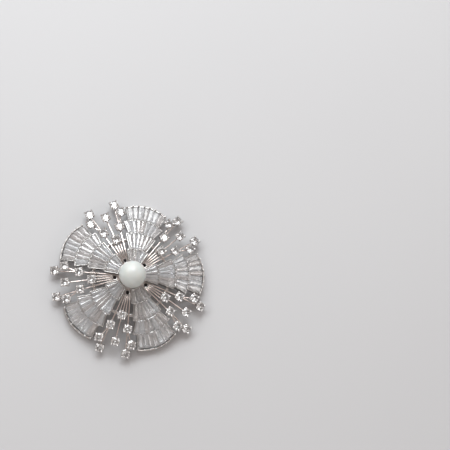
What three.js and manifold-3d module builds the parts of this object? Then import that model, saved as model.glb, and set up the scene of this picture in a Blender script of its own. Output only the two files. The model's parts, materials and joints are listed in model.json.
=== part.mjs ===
// A domed, jewelled hair pin: a pearl at the crown, five fans of tapered baguette stones,
// five open sprays of round stones on wires between them, and a hinged pin with a
// roll-over safety catch on a ring behind. Millimetres, +Z up; the origin is on the hub's
// axis, in the plane that the feet of the five fans stand on.

import * as THREE from 'three';
import { mergeVertices } from 'three/addons/utils/BufferGeometryUtils.js';
import Module from 'manifold-3d';

const wasm = await Module();
wasm.setup();

// ---- Driving dimensions ------------------------------------------------------------

// The dome that the stones' tables lie on, and how the petals share its circle.
const CROWN_HEIGHT = 10.6;
const DOME_RADIUS = 53;
const PETALS = 5;
const FIRST_FAN_ANGLE = 5;
const SOLDER_GAP = 0.08;

// Fans: four rows of baguettes, from the hub out. Each row flares and its ends are arcs.
const FAN_START = 5.3;
const ROWS = [
  { length: 4.65, innerHalf: 1.75, outerHalf: 3.4, stones: 4, arcCentre: 0 },
  { length: 5.9, innerHalf: 2.9, outerHalf: 5.2, stones: 6, arcCentre: 1 },
  { length: 4.8, innerHalf: 4.5, outerHalf: 6.9, stones: 7, arcCentre: 4 },
  { length: 4.95, innerHalf: 5.66, outerHalf: 7.2, stones: 7, arcCentre: 8 },
];
const RIM_ARC_CENTRE = 13;
const ROW_RAIL = 0.34;
const SIDE_WALL = 0.36;
const SIDE_CLEARANCE = 0.12;
const RIM_WALL = 0.6;
const RAIL_PROUD = 0.15;
const WALL_PROUD = 0.06;
const RAIL_STEPS = 6;
const HEAD_STEPS = 4;
const RIM_STEPS = 8;
const FAN_DEPTH = 2.9;
const SEAT_WIDTH = 0.3;
const STONE_DEPTH = 1.6;
const STONE_CROWN = 0.9;
const STONE_TAPER = 0.25;
const GROOVE_DEPTH = 0.5;
const TABLE_INSET = 0.26;
const TONGUE_HALF = 0.8;

// Round stones: radius at the girdle, and heights measured from the dome's surface.
const ROUND_RADIUS = 1.5;
const ROUND_TABLE_SHARE = 0.57;
const ROUND_GIRDLE_LIFT = 0.35;
const ROUND_CROWN = 0.55;
const ROUND_PAVILION = 1.15;
const ROUND_FACETS = 8;
const TILT_SHARE = 0.5;

// Claw settings under the round stones.
const COLLET_DROP = 0.22;
const COLLET_WALL = 0.25;
const COLLET_HEIGHT = 1.3;
const COLLET_TAPER = 0.35;
const CLAW_WIDTH = 0.42;
const CLAW_REACH = 0.14;
const CLAWS = 4;

// Where the round stones stand in a spray: along its axis and to either side of it.
const FIRST_STONE = 14.6;
const SECOND_STONES = { along: 18.85, aside: 3.22 };
const THIRD_STONE = 24.1;
const THIRD_STONES = { along: 23.95, aside: 6.1 };
const LAST_STONES_TURN = 19;
const COLLET_LINK = 0.24;

// Spray wires: flat strips on edge that rise out of the hub.
const WIRE_WIDTH = 0.32;
const WIRE_HEIGHT = 1;
const WIRE_DROP = 1;
const WIRE_ROOT_DIP = 1.2;
const WIRE_ROOT_END = 9.5;
const WIRE_ROOT_PITCH = 0.34;
const WIRE_STEP = 5;
const WIRE_BESIDE_STONE = 0.6;

// Hub, pearl and the cup that the pearl is glued in.
const HUB_RADIUS = 4.7;
const HUB_UNDER_CROWN = 2;
const HUB_THICKNESS = 1.6;
const HUB_SIDES = 20;
const PEARL_RADIUS = 5;
const PEARL_SIDES = 18;
const PEARL_BANDS = 12;
const CUP_RADIUS = 3;
const CUP_WALL = 0.45;
const CUP_FLANGE = 0.35;
const CUP_FLANGE_RADIUS = 2.1;
const CUP_BANDS = 3;
const PEG_RADIUS = 0.6;
const PEG_LENGTH = 3.6;
const PEG_CLEARANCE = 0.08;
const GLUE_GAP = 0.1;

// Ring behind the fans, which carries the hinge and the catch.
const RING_RADIUS = 14;
const RING_WIDTH = 1.2;
const RING_THICKNESS = 1.2;
const RING_SIDES = 36;

// Pin stem, its hinge and its safety catch. The stem lies along X under the dome.
const STEM_HEIGHT = 2.3;
const STEM_RADIUS = 0.45;
const STEM_BEYOND_CATCH = 1;
const STEM_POINT = 4;
const STEM_TIP = 1.4;
const STEM_TIP_SHARE = 0.62;
const STEM_SIDES = 12;
const EYE_WALL = 0.5;
const EYE_OVER_STEM = 0.1;
const RIVET_RADIUS = 0.45;
const RIVET_HEAD_RADIUS = 0.8;
const RIVET_HEAD = 0.35;
const RUNNING_CLEARANCE = 0.05;
const BORE_SIDES = 16;
const BARREL_SIDES = 20;
const EAR_THICKNESS = 0.8;
const EAR_LENGTH = 2.4;
const EAR_BELOW_AXIS = 1.2;
const HINGE_BASE = 0.8;
const HINGE_BASE_WIDTH = 4.4;
const CATCH_LENGTH = 4;
const CATCH_FROM_RING = 0.2;
const CATCH_SLOT = 1.2;
const ROLLER_BORE = 0.75;
const ROLLER_WALL = 0.6;
const ROLLER_CLEARANCE = 0.1;
const CASE_WALL = 0.55;
const CASE_SIDES = 24;
const CASE_PAD_WIDTH = 1.8;
const CASE_PAD_LENGTH = 1.8;
const LEVER_ANGLE = -35;
const LEVER_TRAVEL = 95;
const LEVER_THICKNESS = 0.4;
const LEVER_WIDTH = 0.8;
const LEVER_REACH = 0.75;
const WINDOW_MARGIN = 7;
const WINDOW_REACH = 1.5;
const WINDOW_STEPS = 12;

// ---- Finishes ----------------------------------------------------------------------

const finish = (color, roughness, metalness) =>
  new THREE.MeshStandardMaterial({ color, roughness, metalness });
const rhodium = () => finish(0xc9c8c6, 0.22, 1);
const steel = () => finish(0xb9babc, 0.3, 1);
const crystal = () => finish(0xeef1f5, 0.04, 0);
const nacre = () => finish(0xf3f2ec, 0.25, 0);

// ---- Solids ------------------------------------------------------------------------

function solidOf(geometry) {
  geometry.deleteAttribute('normal');
  geometry.deleteAttribute('uv');
  const merged = mergeVertices(geometry, 1e-4);
  const corners = merged.index.array;
  const triVerts = [];
  for (let i = 0; i < corners.length; i += 3) {
    const [a, b, c] = corners.slice(i, i + 3);
    if (a !== b && b !== c && c !== a) {
      triVerts.push(a, b, c);
    }
  }
  return new wasm.Manifold(new wasm.Mesh({
    numProp: 3,
    vertProperties: merged.attributes.position.array,
    triVerts: new Uint32Array(triVerts),
  }));
}

const joined = (solids) => solids.reduce((whole, solid) => whole.add(solid));

function geometryOf(solid) {
  const mesh = solid.getMesh();
  const geometry = new THREE.BufferGeometry();
  geometry.setAttribute('position', new THREE.BufferAttribute(mesh.vertProperties, 3));
  geometry.setIndex(new THREE.BufferAttribute(mesh.triVerts, 1));
  geometry.computeVertexNormals();
  return geometry;
}

function pieceOf(name, shape, material) {
  const geometry = shape instanceof THREE.BufferGeometry ? shape : geometryOf(shape);
  const mesh = new THREE.Mesh(geometry, material);
  mesh.name = name;
  return mesh;
}

const blend = THREE.MathUtils.lerp;
const radians = THREE.MathUtils.degToRad;

// A box whose corners are moved by place(along, across, up), each from 0 to 1.
function shapedBox(place, alongSteps = 1, acrossSteps = 1) {
  const box = new THREE.BoxGeometry(1, 1, 1, alongSteps, acrossSteps, 1);
  const position = box.attributes.position;
  for (let i = 0; i < position.count; i += 1) {
    const point = place(position.getX(i) + 0.5, position.getY(i) + 0.5, position.getZ(i) + 0.5);
    position.setXYZ(i, ...point);
  }
  return box;
}

function turnedRing(innerRadius, outerRadius, bottom, top, sides) {
  const profile = [
    new THREE.Vector2(innerRadius, bottom),
    new THREE.Vector2(outerRadius, bottom),
    new THREE.Vector2(outerRadius, top),
    new THREE.Vector2(innerRadius, top),
    new THREE.Vector2(innerRadius, bottom),
  ];
  return turned(profile, sides);
}

// A lathe turns its profile round Y; this one stands on Z.
const turned = (profile, sides) =>
  new THREE.LatheGeometry(profile, sides).rotateX(Math.PI / 2);

function block(lengths, centre) {
  return new THREE.BoxGeometry(...lengths).translate(...centre);
}

function rod(radius, length, sides) {
  return new THREE.CylinderGeometry(radius, radius, length, sides);
}

// ---- The dome ----------------------------------------------------------------------

const domeDrop = (r) => DOME_RADIUS - Math.sqrt(DOME_RADIUS ** 2 - r ** 2);
const domeHeight = (x, y) => CROWN_HEIGHT - domeDrop(Math.hypot(x, y));
const overDome = (lift) => (x, y) => domeHeight(x, y) + lift;
const onFloor = () => 0;

// ---- Fans of baguettes -------------------------------------------------------------

const rowGap = ROW_RAIL + 2 * SOLDER_GAP;

const rows = [];
for (const row of ROWS) {
  const last = rows.at(-1);
  const start = last ? last.end + rowGap : FAN_START;
  rows.push({ ...row, start, end: start + row.length });
}
rows.forEach((row, i) => {
  row.endArcCentre = i + 1 < rows.length ? rows[i + 1].arcCentre : RIM_ARC_CENTRE;
});
const firstRow = rows[0];
const lastRow = rows.at(-1);

const arcAt = (reach, centre, aside) => centre + Math.sqrt((reach - centre) ** 2 - aside ** 2);

// A point of a row: across from -1 to 1 between its sides, along from 0 to 1 outwards,
// moved sideways by shift.
function rowPoint(row, across, along, shift = 0) {
  const y = across * blend(row.innerHalf, row.outerHalf, along) + shift;
  const inner = arcAt(row.start, row.arcCentre, y);
  const outer = arcAt(row.end, row.endArcCentre, y);
  return [blend(inner, outer, along), y];
}

// A rail that follows an arc across the fan, from one reach to another.
function crossRail(from, to, centre, half, bottom, top, steps = RAIL_STEPS) {
  return shapedBox((along, across, up) => {
    const y = blend(-half, half, across);
    const x = arcAt(blend(from, to, along), centre, y);
    return [x, y, up ? top(x, y) : bottom(x, y)];
  }, 1, steps);
}

// A wall along a side of a row. Its foot spreads inwards under the stones as their seat,
// and it runs on under the rails at both its ends, only just so beside the hub.
function sideWall(row, side) {
  const runOut = SOLDER_GAP + ROW_RAIL / 2;
  const runIn = row === firstRow ? 2 * SOLDER_GAP : runOut;
  return shapedBox((along, across, up) => {
    const inner = up ? SIDE_CLEARANCE : -SEAT_WIDTH;
    const shift = side * blend(inner, SIDE_WALL, side > 0 ? across : 1 - across);
    const reach = blend(-runIn, row.length + runOut, along) / row.length;
    const [x, y] = rowPoint(row, side, reach, shift);
    return [x, y, overDome(up ? WALL_PROUD : -FAN_DEPTH)(x, y)];
  });
}

function fanFrame() {
  const railTop = overDome(RAIL_PROUD);
  const railBottom = overDome(SOLDER_GAP - STONE_CROWN);
  const solids = rows.flatMap((row) => [sideWall(row, -1), sideWall(row, 1)]);
  rows.slice(1).forEach((row, i) => {
    const before = rows[i];
    const half = Math.max(before.outerHalf, row.innerHalf) + SIDE_WALL;
    const from = before.end + SOLDER_GAP;
    const to = row.start - SOLDER_GAP;
    solids.push(crossRail(from, to, row.arcCentre, half, railBottom, railTop));
  });
  const headStart = HUB_RADIUS + SOLDER_GAP;
  const headEnd = firstRow.start - SOLDER_GAP;
  const headBottom = overDome(-FAN_DEPTH);
  const { innerHalf, arcCentre } = firstRow;
  const head = [headStart, headEnd, arcCentre, innerHalf];
  solids.push(crossRail(...head, headBottom, railTop, HEAD_STEPS));
  const rimHalf = lastRow.outerHalf + SIDE_WALL;
  const rimStart = lastRow.end + SOLDER_GAP;
  const rim = [rimStart, rimStart + RIM_WALL, RIM_ARC_CENTRE, rimHalf];
  solids.push(crossRail(...rim, onFloor, railTop, RIM_STEPS));
  return joined(solids.map(solidOf));
}

// A row of baguettes side by side: flat tables with a groove between each two stones,
// drawn in to a narrower back.
function baguetteRow(row) {
  const steps = 3 * row.stones;
  return shapedBox((along, across, up) => {
    const step = Math.round(across * steps);
    const seam = Math.round(step / 3);
    const inwards = up ? step - 3 * seam : 0;
    const atSide = seam === 0 || seam === row.stones;
    const taper = up || !atSide ? 0 : Math.sign(0.5 - across) * STONE_TAPER;
    const place = (2 * seam) / row.stones - 1;
    const [x, y] = rowPoint(row, place, along, inwards * TABLE_INSET + taper);
    const top = inwards === 0 ? -GROOVE_DEPTH : 0;
    return [x, y, overDome(up ? top : -STONE_DEPTH)(x, y)];
  }, 1, steps);
}

// The stones of a fan, with a tongue that joins each row to the next under the rail.
function fanBaguettes() {
  const solids = rows.map(baguetteRow);
  const low = overDome(-STONE_DEPTH + SOLDER_GAP);
  const high = overDome(-STONE_CROWN);
  rows.slice(1).forEach((row, i) => {
    const from = rows[i].end - ROW_RAIL;
    const to = row.start + ROW_RAIL;
    solids.push(crossRail(from, to, row.arcCentre, TONGUE_HALF, low, high, 1));
  });
  return joined(solids.map(solidOf));
}

// ---- Sprays of round stones --------------------------------------------------------

const settingRadius = ROUND_RADIUS + COLLET_WALL;

// The settings of a spray, in the order of a string of letters from the hub out.
function spraySettings() {
  const pitch = 2 * settingRadius + COLLET_LINK;
  const turn = radians(LAST_STONES_TURN);
  const lastAlong = THIRD_STONES.along + pitch * Math.cos(turn);
  const lastAside = THIRD_STONES.aside - pitch * Math.sin(turn);
  return [
    ['a', FIRST_STONE, 0],
    ['b1', SECOND_STONES.along, SECOND_STONES.aside],
    ['b2', SECOND_STONES.along, -SECOND_STONES.aside],
    ['c1', THIRD_STONES.along, THIRD_STONES.aside],
    ['c2', THIRD_STONE, 0],
    ['c3', THIRD_STONES.along, -THIRD_STONES.aside],
    ['d1', lastAlong, lastAside],
    ['d2', lastAlong, -lastAside],
  ].map(([name, along, aside]) => ({ name, along, aside }));
}
const settings = spraySettings();
const settingNamed = (name) => settings.find((setting) => setting.name === name);

// A stone's place: on the dome, leaning outwards by a share of the dome's slope.
function placeSetting(object, setting) {
  const { along, aside } = setting;
  const slope = Math.asin(Math.hypot(along, aside) / DOME_RADIUS);
  const outwards = new THREE.Vector3(-aside, along, 0).normalize();
  object.position.set(along, aside, domeHeight(along, aside));
  object.setRotationFromAxisAngle(outwards, TILT_SHARE * slope);
  object.updateMatrix();
  return object;
}

// A round stone: culet, girdle and table.
function roundStone() {
  const profile = [
    new THREE.Vector2(0, ROUND_GIRDLE_LIFT - ROUND_PAVILION),
    new THREE.Vector2(ROUND_RADIUS, ROUND_GIRDLE_LIFT),
    new THREE.Vector2(ROUND_RADIUS * ROUND_TABLE_SHARE, ROUND_GIRDLE_LIFT + ROUND_CROWN),
    new THREE.Vector2(0, ROUND_GIRDLE_LIFT + ROUND_CROWN),
  ];
  return turned(profile, ROUND_FACETS);
}

// The radius of a round stone's pavilion at a height over the dome.
const pavilionAt = (height) =>
  ROUND_RADIUS * Math.max(0, 1 - (ROUND_GIRDLE_LIFT - height) / ROUND_PAVILION);

// A square collet has two corners at each claw, and flats between the claws that clear
// the stone's pavilion.
const colletTop = ROUND_GIRDLE_LIFT - COLLET_DROP;
const clawHalfAngle = Math.asin(CLAW_WIDTH / 2 / settingRadius);
const flatHalfAngle = Math.PI / CLAWS - clawHalfAngle;
const seatCorner = (pavilionAt(colletTop) + SOLDER_GAP) / Math.cos(flatHalfAngle);
const outerCorner = seatCorner + COLLET_WALL / Math.cos(flatHalfAngle);

function colletCorner(index, radius, height) {
  const claw = Math.floor(index / 2) + 0.5;
  const angle = (2 * Math.PI * claw) / CLAWS + (index % 2 ? clawHalfAngle : -clawHalfAngle);
  return [radius * Math.cos(angle), radius * Math.sin(angle), height];
}

// A claw stands on a corner of the collet and leans in over the stone's crown.
function claw(number) {
  const tipHeight = ROUND_GIRDLE_LIFT + ROUND_CROWN + SOLDER_GAP;
  const tipRadius = ROUND_RADIUS - CLAW_REACH;
  return shapedBox((outwards, around, up) => {
    const radius = up
      ? tipRadius + outwards * COLLET_WALL
      : blend(seatCorner, outerCorner, outwards);
    return colletCorner(2 * number + around, radius, up ? tipHeight : colletTop);
  });
}

function collet() {
  const bottom = colletTop - COLLET_HEIGHT;
  const ring = new THREE.LatheGeometry([
    new THREE.Vector2(seatCorner - COLLET_TAPER, bottom),
    new THREE.Vector2(outerCorner - COLLET_TAPER, bottom),
    new THREE.Vector2(outerCorner, colletTop),
    new THREE.Vector2(seatCorner, colletTop),
    new THREE.Vector2(seatCorner - COLLET_TAPER, bottom),
  ], 2 * CLAWS).rotateX(Math.PI / 2);
  const position = ring.attributes.position;
  for (let i = 0; i < position.count; i += 1) {
    const [x, y] = [position.getX(i), position.getY(i)];
    const step = Math.round((Math.atan2(y, x) * CLAWS) / Math.PI) + 2 * CLAWS;
    position.setXYZ(i, ...colletCorner(step % (2 * CLAWS), Math.hypot(x, y), position.getZ(i)));
  }
  const solids = [ring];
  for (let number = 0; number < CLAWS; number += 1) {
    solids.push(claw(number));
  }
  return joined(solids.map(solidOf));
}

// A wire in plan from one point to another, on edge, dipping to the hub at its root.
function wire(from, to) {
  const steps = Math.ceil(from.distanceTo(to) / WIRE_STEP);
  const across = to.clone().sub(from).normalize().rotateAround(new THREE.Vector2(), Math.PI / 2);
  return shapedBox((along, aside, up) => {
    const point = from.clone().lerp(to, along);
    const r = point.length();
    const dip = WIRE_ROOT_DIP * (1 - THREE.MathUtils.smoothstep(r, HUB_RADIUS, WIRE_ROOT_END));
    const top = CROWN_HEIGHT - domeDrop(r) - WIRE_DROP - dip;
    point.addScaledVector(across, (aside - 0.5) * WIRE_WIDTH);
    return [point.x, point.y, top - (1 - up) * WIRE_HEIGHT];
  }, steps);
}

// Five wires to a spray and a branch to each outer stone of its third row.
function sprayWires() {
  const root = (rank) => new THREE.Vector2(HUB_RADIUS - WIRE_WIDTH, rank * WIRE_ROOT_PITCH);
  const seat = (name) => new THREE.Vector2(settingNamed(name).along, settingNamed(name).aside);
  const beside = settingRadius * WIRE_BESIDE_STONE;
  const firstSide = (side) => seat('a').add(new THREE.Vector2(0, side * beside));
  return [
    wire(root(0), seat('c2')),
    wire(root(1), firstSide(1)),
    wire(root(-1), firstSide(-1)),
    wire(root(2), seat('d1')),
    wire(root(-2), seat('d2')),
    wire(seat('b1'), seat('c1')),
    wire(seat('b2'), seat('c3')),
    wire(seat('c1'), seat('d1')),
    wire(seat('c3'), seat('d2')),
  ];
}

const fanTurn = (index) => radians(FIRST_FAN_ANGLE + (360 / PETALS) * index);
const sprayTurn = (index) => radians(FIRST_FAN_ANGLE + (360 / PETALS) * (index + 0.5));

// The hub with all the wires and settings that grow from it, cast in one piece.
function sprayFrame() {
  const bore = PEG_RADIUS + PEG_CLEARANCE;
  const hub = turnedRing(bore, HUB_RADIUS, hubBottom, hubTop, HUB_SIDES);
  const parts = [solidOf(hub)];
  const spray = joined(sprayWires().map(solidOf));
  const cup = collet();
  const anchor = new THREE.Object3D();
  const filled = settings.map((setting) =>
    cup.transform(placeSetting(anchor, setting).matrix.toArray()));
  const whole = joined([spray, ...filled]);
  for (let index = 0; index < PETALS; index += 1) {
    parts.push(whole.rotate([0, 0, THREE.MathUtils.radToDeg(sprayTurn(index))]));
  }
  return joined(parts);
}

// ---- Pearl and cup -----------------------------------------------------------------

const hubTop = CROWN_HEIGHT - HUB_UNDER_CROWN;
const hubBottom = hubTop - HUB_THICKNESS;
const cupBottom = hubTop + SOLDER_GAP;
const pearlCentre = cupBottom + CUP_FLANGE + CUP_WALL + GLUE_GAP + PEARL_RADIUS;

function pearl() {
  const ball = new THREE.SphereGeometry(PEARL_RADIUS, PEARL_SIDES, PEARL_BANDS).rotateX(Math.PI / 2);
  const hole = rod(PEG_RADIUS + PEG_CLEARANCE, PEARL_RADIUS + PEG_LENGTH, BORE_SIDES)
    .rotateX(Math.PI / 2)
    .translate(0, 0, PEG_CLEARANCE - PEARL_RADIUS + (PEG_LENGTH - PEARL_RADIUS) / 2);
  return solidOf(ball).subtract(solidOf(hole)).translate([0, 0, pearlCentre]);
}

// A dish on a flange, with a peg up into the pearl and a rivet down through the hub.
function pearlCup() {
  const dishInner = PEARL_RADIUS + GLUE_GAP;
  const dishOuter = dishInner + CUP_WALL;
  const innerLip = Math.asin(CUP_RADIUS / dishInner);
  const outerLip = Math.asin(CUP_RADIUS / dishOuter);
  const footAngle = Math.asin(CUP_FLANGE_RADIUS / dishOuter);
  const onDish = (radius, angle) =>
    new THREE.Vector2(radius * Math.sin(angle), pearlCentre - radius * Math.cos(angle));
  const pegFoot = Math.asin(PEG_RADIUS / dishInner);
  const inside = [];
  for (let band = 0; band <= CUP_BANDS; band += 1) {
    inside.push(onDish(dishInner, blend(innerLip, pegFoot, band / CUP_BANDS)));
  }
  const profile = [
    new THREE.Vector2(0, hubBottom + SOLDER_GAP),
    new THREE.Vector2(PEG_RADIUS, hubBottom + SOLDER_GAP),
    new THREE.Vector2(PEG_RADIUS, cupBottom),
    new THREE.Vector2(CUP_FLANGE_RADIUS, cupBottom),
    onDish(dishOuter, footAngle),
    onDish(dishOuter, (footAngle + outerLip) / 2),
    onDish(dishOuter, outerLip),
    ...inside,
    new THREE.Vector2(PEG_RADIUS, pearlCentre - PEARL_RADIUS + PEG_LENGTH),
    new THREE.Vector2(0, pearlCentre - PEARL_RADIUS + PEG_LENGTH),
  ];
  return turned(profile, PEARL_SIDES);
}

// ---- Ring, hinge, pin and catch ----------------------------------------------------

const ringInner = RING_RADIUS - RING_WIDTH / 2;
const ringOuter = RING_RADIUS + RING_WIDTH / 2;
const ringTop = CROWN_HEIGHT - domeDrop(ringOuter) - FAN_DEPTH - SOLDER_GAP;
const ringBottom = ringTop - RING_THICKNESS;
const hingeX = -RING_RADIUS;
const eyeWidth = 2 * STEM_RADIUS + EYE_OVER_STEM;
const earGap = eyeWidth + 2 * RUNNING_CLEARANCE;
const rivetHole = RIVET_RADIUS + RUNNING_CLEARANCE;
const hingeTop = ringBottom - SOLDER_GAP;

function backRing() {
  return turnedRing(ringInner, ringOuter, ringBottom, ringTop, RING_SIDES);
}

function hingeBlock() {
  const baseCentre = hingeTop - HINGE_BASE / 2;
  const parts = [
    block([EAR_LENGTH, HINGE_BASE_WIDTH, HINGE_BASE], [hingeX, 0, baseCentre]),
  ];
  const earBottom = STEM_HEIGHT - EAR_BELOW_AXIS;
  const earTop = hingeTop - HINGE_BASE / 2;
  for (const side of [-1, 1]) {
    const aside = (side * (earGap + EAR_THICKNESS)) / 2;
    const size = [EAR_LENGTH, EAR_THICKNESS, earTop - earBottom];
    parts.push(block(size, [hingeX, aside, (earTop + earBottom) / 2]));
  }
  const hole = rod(rivetHole, HINGE_BASE_WIDTH, BORE_SIDES).translate(hingeX, 0, STEM_HEIGHT);
  return joined(parts.map(solidOf)).subtract(solidOf(hole));
}

function hingeRivet() {
  const shank = earGap + 2 * EAR_THICKNESS + 2 * RUNNING_CLEARANCE;
  const parts = [rod(RIVET_RADIUS, shank + RIVET_HEAD, BORE_SIDES)];
  for (const side of [-1, 1]) {
    const aside = (side * (shank + RIVET_HEAD)) / 2;
    parts.push(rod(RIVET_HEAD_RADIUS, RIVET_HEAD, BORE_SIDES).translate(0, aside, 0));
  }
  return joined(parts.map(solidOf)).translate([hingeX, 0, STEM_HEIGHT]);
}

const catchStart = ringInner + CATCH_FROM_RING;
const catchEnd = catchStart + CATCH_LENGTH;
const catchCentre = (catchStart + catchEnd) / 2;
const rollerOuter = ROLLER_BORE + ROLLER_WALL;
const caseInner = rollerOuter + ROLLER_CLEARANCE;
const caseOuter = caseInner + CASE_WALL;
const leverX = catchCentre + LEVER_WIDTH;

function pinStem() {
  const tip = catchEnd + STEM_BEYOND_CATCH;
  const length = tip - hingeX;
  const profile = [
    new THREE.Vector2(0, rivetHole + STEM_RADIUS / 2),
    new THREE.Vector2(STEM_RADIUS, rivetHole + STEM_RADIUS / 2),
    new THREE.Vector2(STEM_RADIUS, length - STEM_POINT),
    new THREE.Vector2(STEM_RADIUS * STEM_TIP_SHARE, length - STEM_TIP),
    new THREE.Vector2(0, length),
  ];
  const stem = new THREE.LatheGeometry(profile, STEM_SIDES).rotateZ(-Math.PI / 2);
  const eye = rod(rivetHole + EYE_WALL, eyeWidth, BARREL_SIDES);
  const hole = rod(rivetHole, 2 * eyeWidth, BORE_SIDES);
  const parts = [stem, eye].map(solidOf);
  return joined(parts).subtract(solidOf(hole)).translate([hingeX, 0, STEM_HEIGHT]);
}

// A tube along X with a slot down its whole length, open downwards.
function slottedTube(inner, outer, length, sides) {
  const tube = turnedRing(inner, outer, -length / 2, length / 2, sides).rotateY(Math.PI / 2);
  const slot = block([2 * length, CATCH_SLOT, outer * 2], [0, 0, -outer]);
  return solidOf(tube).subtract(solidOf(slot));
}

// A wedge round the catch's axis between two angles from +Y towards +Z.
function sector(radius, fromAngle, toAngle, width) {
  const from = radians(fromAngle);
  const outline = new THREE.Shape();
  outline.moveTo(0, 0);
  outline.lineTo(radius * Math.cos(from), radius * Math.sin(from));
  outline.absarc(0, 0, radius, from, radians(toAngle), false);
  const options = { depth: width, bevelEnabled: false, curveSegments: WINDOW_STEPS };
  return new THREE.ExtrudeGeometry(outline, options)
    .translate(0, 0, -width / 2)
    .rotateY(Math.PI / 2)
    .rotateX(Math.PI / 2);
}

function catchCase() {
  const padTop = ringBottom - SOLDER_GAP - STEM_HEIGHT;
  const padBottom = caseInner + CASE_WALL / 3;
  const pad = block(
    [CASE_PAD_LENGTH, CASE_PAD_WIDTH, padTop - padBottom],
    [(CASE_PAD_LENGTH - CATCH_LENGTH) / 2, 0, (padTop + padBottom) / 2],
  );
  const halfLever = THREE.MathUtils.radToDeg(Math.asin(LEVER_THICKNESS / 2 / caseInner));
  const margin = halfLever + WINDOW_MARGIN;
  const window = sector(
    caseOuter * WINDOW_REACH,
    LEVER_ANGLE - margin,
    LEVER_ANGLE + LEVER_TRAVEL + margin,
    LEVER_WIDTH + 4 * ROLLER_CLEARANCE,
  ).translate(leverX - catchCentre, 0, 0);
  return slottedTube(caseInner, caseOuter, CATCH_LENGTH, CASE_SIDES)
    .add(solidOf(pad))
    .subtract(solidOf(window))
    .translate([catchCentre, 0, STEM_HEIGHT]);
}

function catchRoller() {
  const length = CATCH_LENGTH - 2 * ROLLER_CLEARANCE;
  const leverStart = ROLLER_BORE + ROLLER_WALL / 2;
  const leverEnd = caseOuter + LEVER_REACH;
  const lever = block(
    [LEVER_WIDTH, leverEnd - leverStart, LEVER_THICKNESS],
    [leverX - catchCentre, (leverStart + leverEnd) / 2, 0],
  ).rotateX(radians(LEVER_ANGLE));
  return slottedTube(ROLLER_BORE, rollerOuter, length, BARREL_SIDES)
    .add(solidOf(lever))
    .translate([catchCentre, 0, STEM_HEIGHT]);
}

// ---- Assembly ----------------------------------------------------------------------

const brooch = new THREE.Group();
brooch.add(pieceOf('spray_frame', sprayFrame(), rhodium()));

const fanShape = geometryOf(fanFrame());
const baguetteShape = geometryOf(fanBaguettes());
const roundShape = roundStone();
for (let index = 0; index < PETALS; index += 1) {
  const fan = new THREE.Group();
  fan.rotation.z = fanTurn(index);
  fan.add(pieceOf(`fan_frame_${index + 1}`, fanShape, rhodium()));
  fan.add(pieceOf(`fan_baguettes_${index + 1}`, baguetteShape, crystal()));
  brooch.add(fan);
  const spray = new THREE.Group();
  spray.rotation.z = sprayTurn(index);
  for (const setting of settings) {
    const name = `round_stone_${index + 1}${setting.name}`;
    spray.add(placeSetting(pieceOf(name, roundShape, crystal()), setting));
  }
  brooch.add(spray);
}

brooch.add(
  pieceOf('pearl', pearl(), nacre()),
  pieceOf('pearl_cup', pearlCup(), rhodium()),
  pieceOf('back_ring', backRing(), rhodium()),
  pieceOf('hinge_block', hingeBlock(), rhodium()),
  pieceOf('hinge_rivet', hingeRivet(), steel()),
  pieceOf('pin_stem', pinStem(), steel()),
  pieceOf('catch_case', catchCase(), rhodium()),
  pieceOf('catch_roller', catchRoller(), rhodium()),
);

export default brooch;
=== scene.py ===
"""Looks of a domed, jewelled hair pin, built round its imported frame.

A pearl stands at the crown of a dome. Five fans of tapered baguette stones and five open
sprays of round stones share its circle, and a hinged pin with a roller catch lies behind
them. Sizes in the classes are millimetres, and every mesh is written in metres.
"""

import json
import logging
import math
import random
from dataclasses import dataclass, field
from enum import Enum
from typing import Callable, Dict, Iterable, List, Optional, Sequence, Tuple

import bmesh
import bpy
from mathutils import Matrix, Vector, noise

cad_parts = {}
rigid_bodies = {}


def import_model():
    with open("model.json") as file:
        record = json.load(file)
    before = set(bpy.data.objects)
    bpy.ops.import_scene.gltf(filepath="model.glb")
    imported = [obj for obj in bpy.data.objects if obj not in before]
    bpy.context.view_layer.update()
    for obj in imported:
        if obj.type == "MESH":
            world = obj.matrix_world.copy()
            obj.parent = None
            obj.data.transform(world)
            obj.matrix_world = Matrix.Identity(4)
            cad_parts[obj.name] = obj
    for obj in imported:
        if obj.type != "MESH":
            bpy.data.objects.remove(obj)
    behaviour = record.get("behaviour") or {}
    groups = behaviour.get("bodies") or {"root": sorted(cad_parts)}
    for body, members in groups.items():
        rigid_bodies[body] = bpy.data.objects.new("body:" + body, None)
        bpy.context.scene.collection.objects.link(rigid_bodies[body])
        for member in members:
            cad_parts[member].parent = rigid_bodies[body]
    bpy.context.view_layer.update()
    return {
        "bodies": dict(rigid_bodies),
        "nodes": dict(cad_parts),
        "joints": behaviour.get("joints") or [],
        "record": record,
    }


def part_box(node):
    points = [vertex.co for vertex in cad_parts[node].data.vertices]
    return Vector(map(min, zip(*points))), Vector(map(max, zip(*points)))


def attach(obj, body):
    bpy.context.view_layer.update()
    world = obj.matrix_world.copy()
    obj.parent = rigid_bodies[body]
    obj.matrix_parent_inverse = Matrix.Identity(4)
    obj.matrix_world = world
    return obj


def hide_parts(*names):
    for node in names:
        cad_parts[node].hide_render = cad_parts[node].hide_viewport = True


MM = 0.001
SAME_PLACE = 1e-7
LOG = logging.getLogger("hair_pin")

Colour = Tuple[float, float, float]
Pair = Tuple[float, float]
Ring = List[Vector]


class Body(Enum):
    """The rigid bodies that pieces move with."""

    JEWEL = "jewel"
    PIN = "pin"
    ROLLER = "roller"


class Slot(Enum):
    """The record's material slots."""

    RHODIUM = "rhodium"
    STEEL = "pin_steel"
    CRYSTAL = "crystal"
    NACRE = "nacre"


# ---- Node trees --------------------------------------------------------------------


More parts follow.
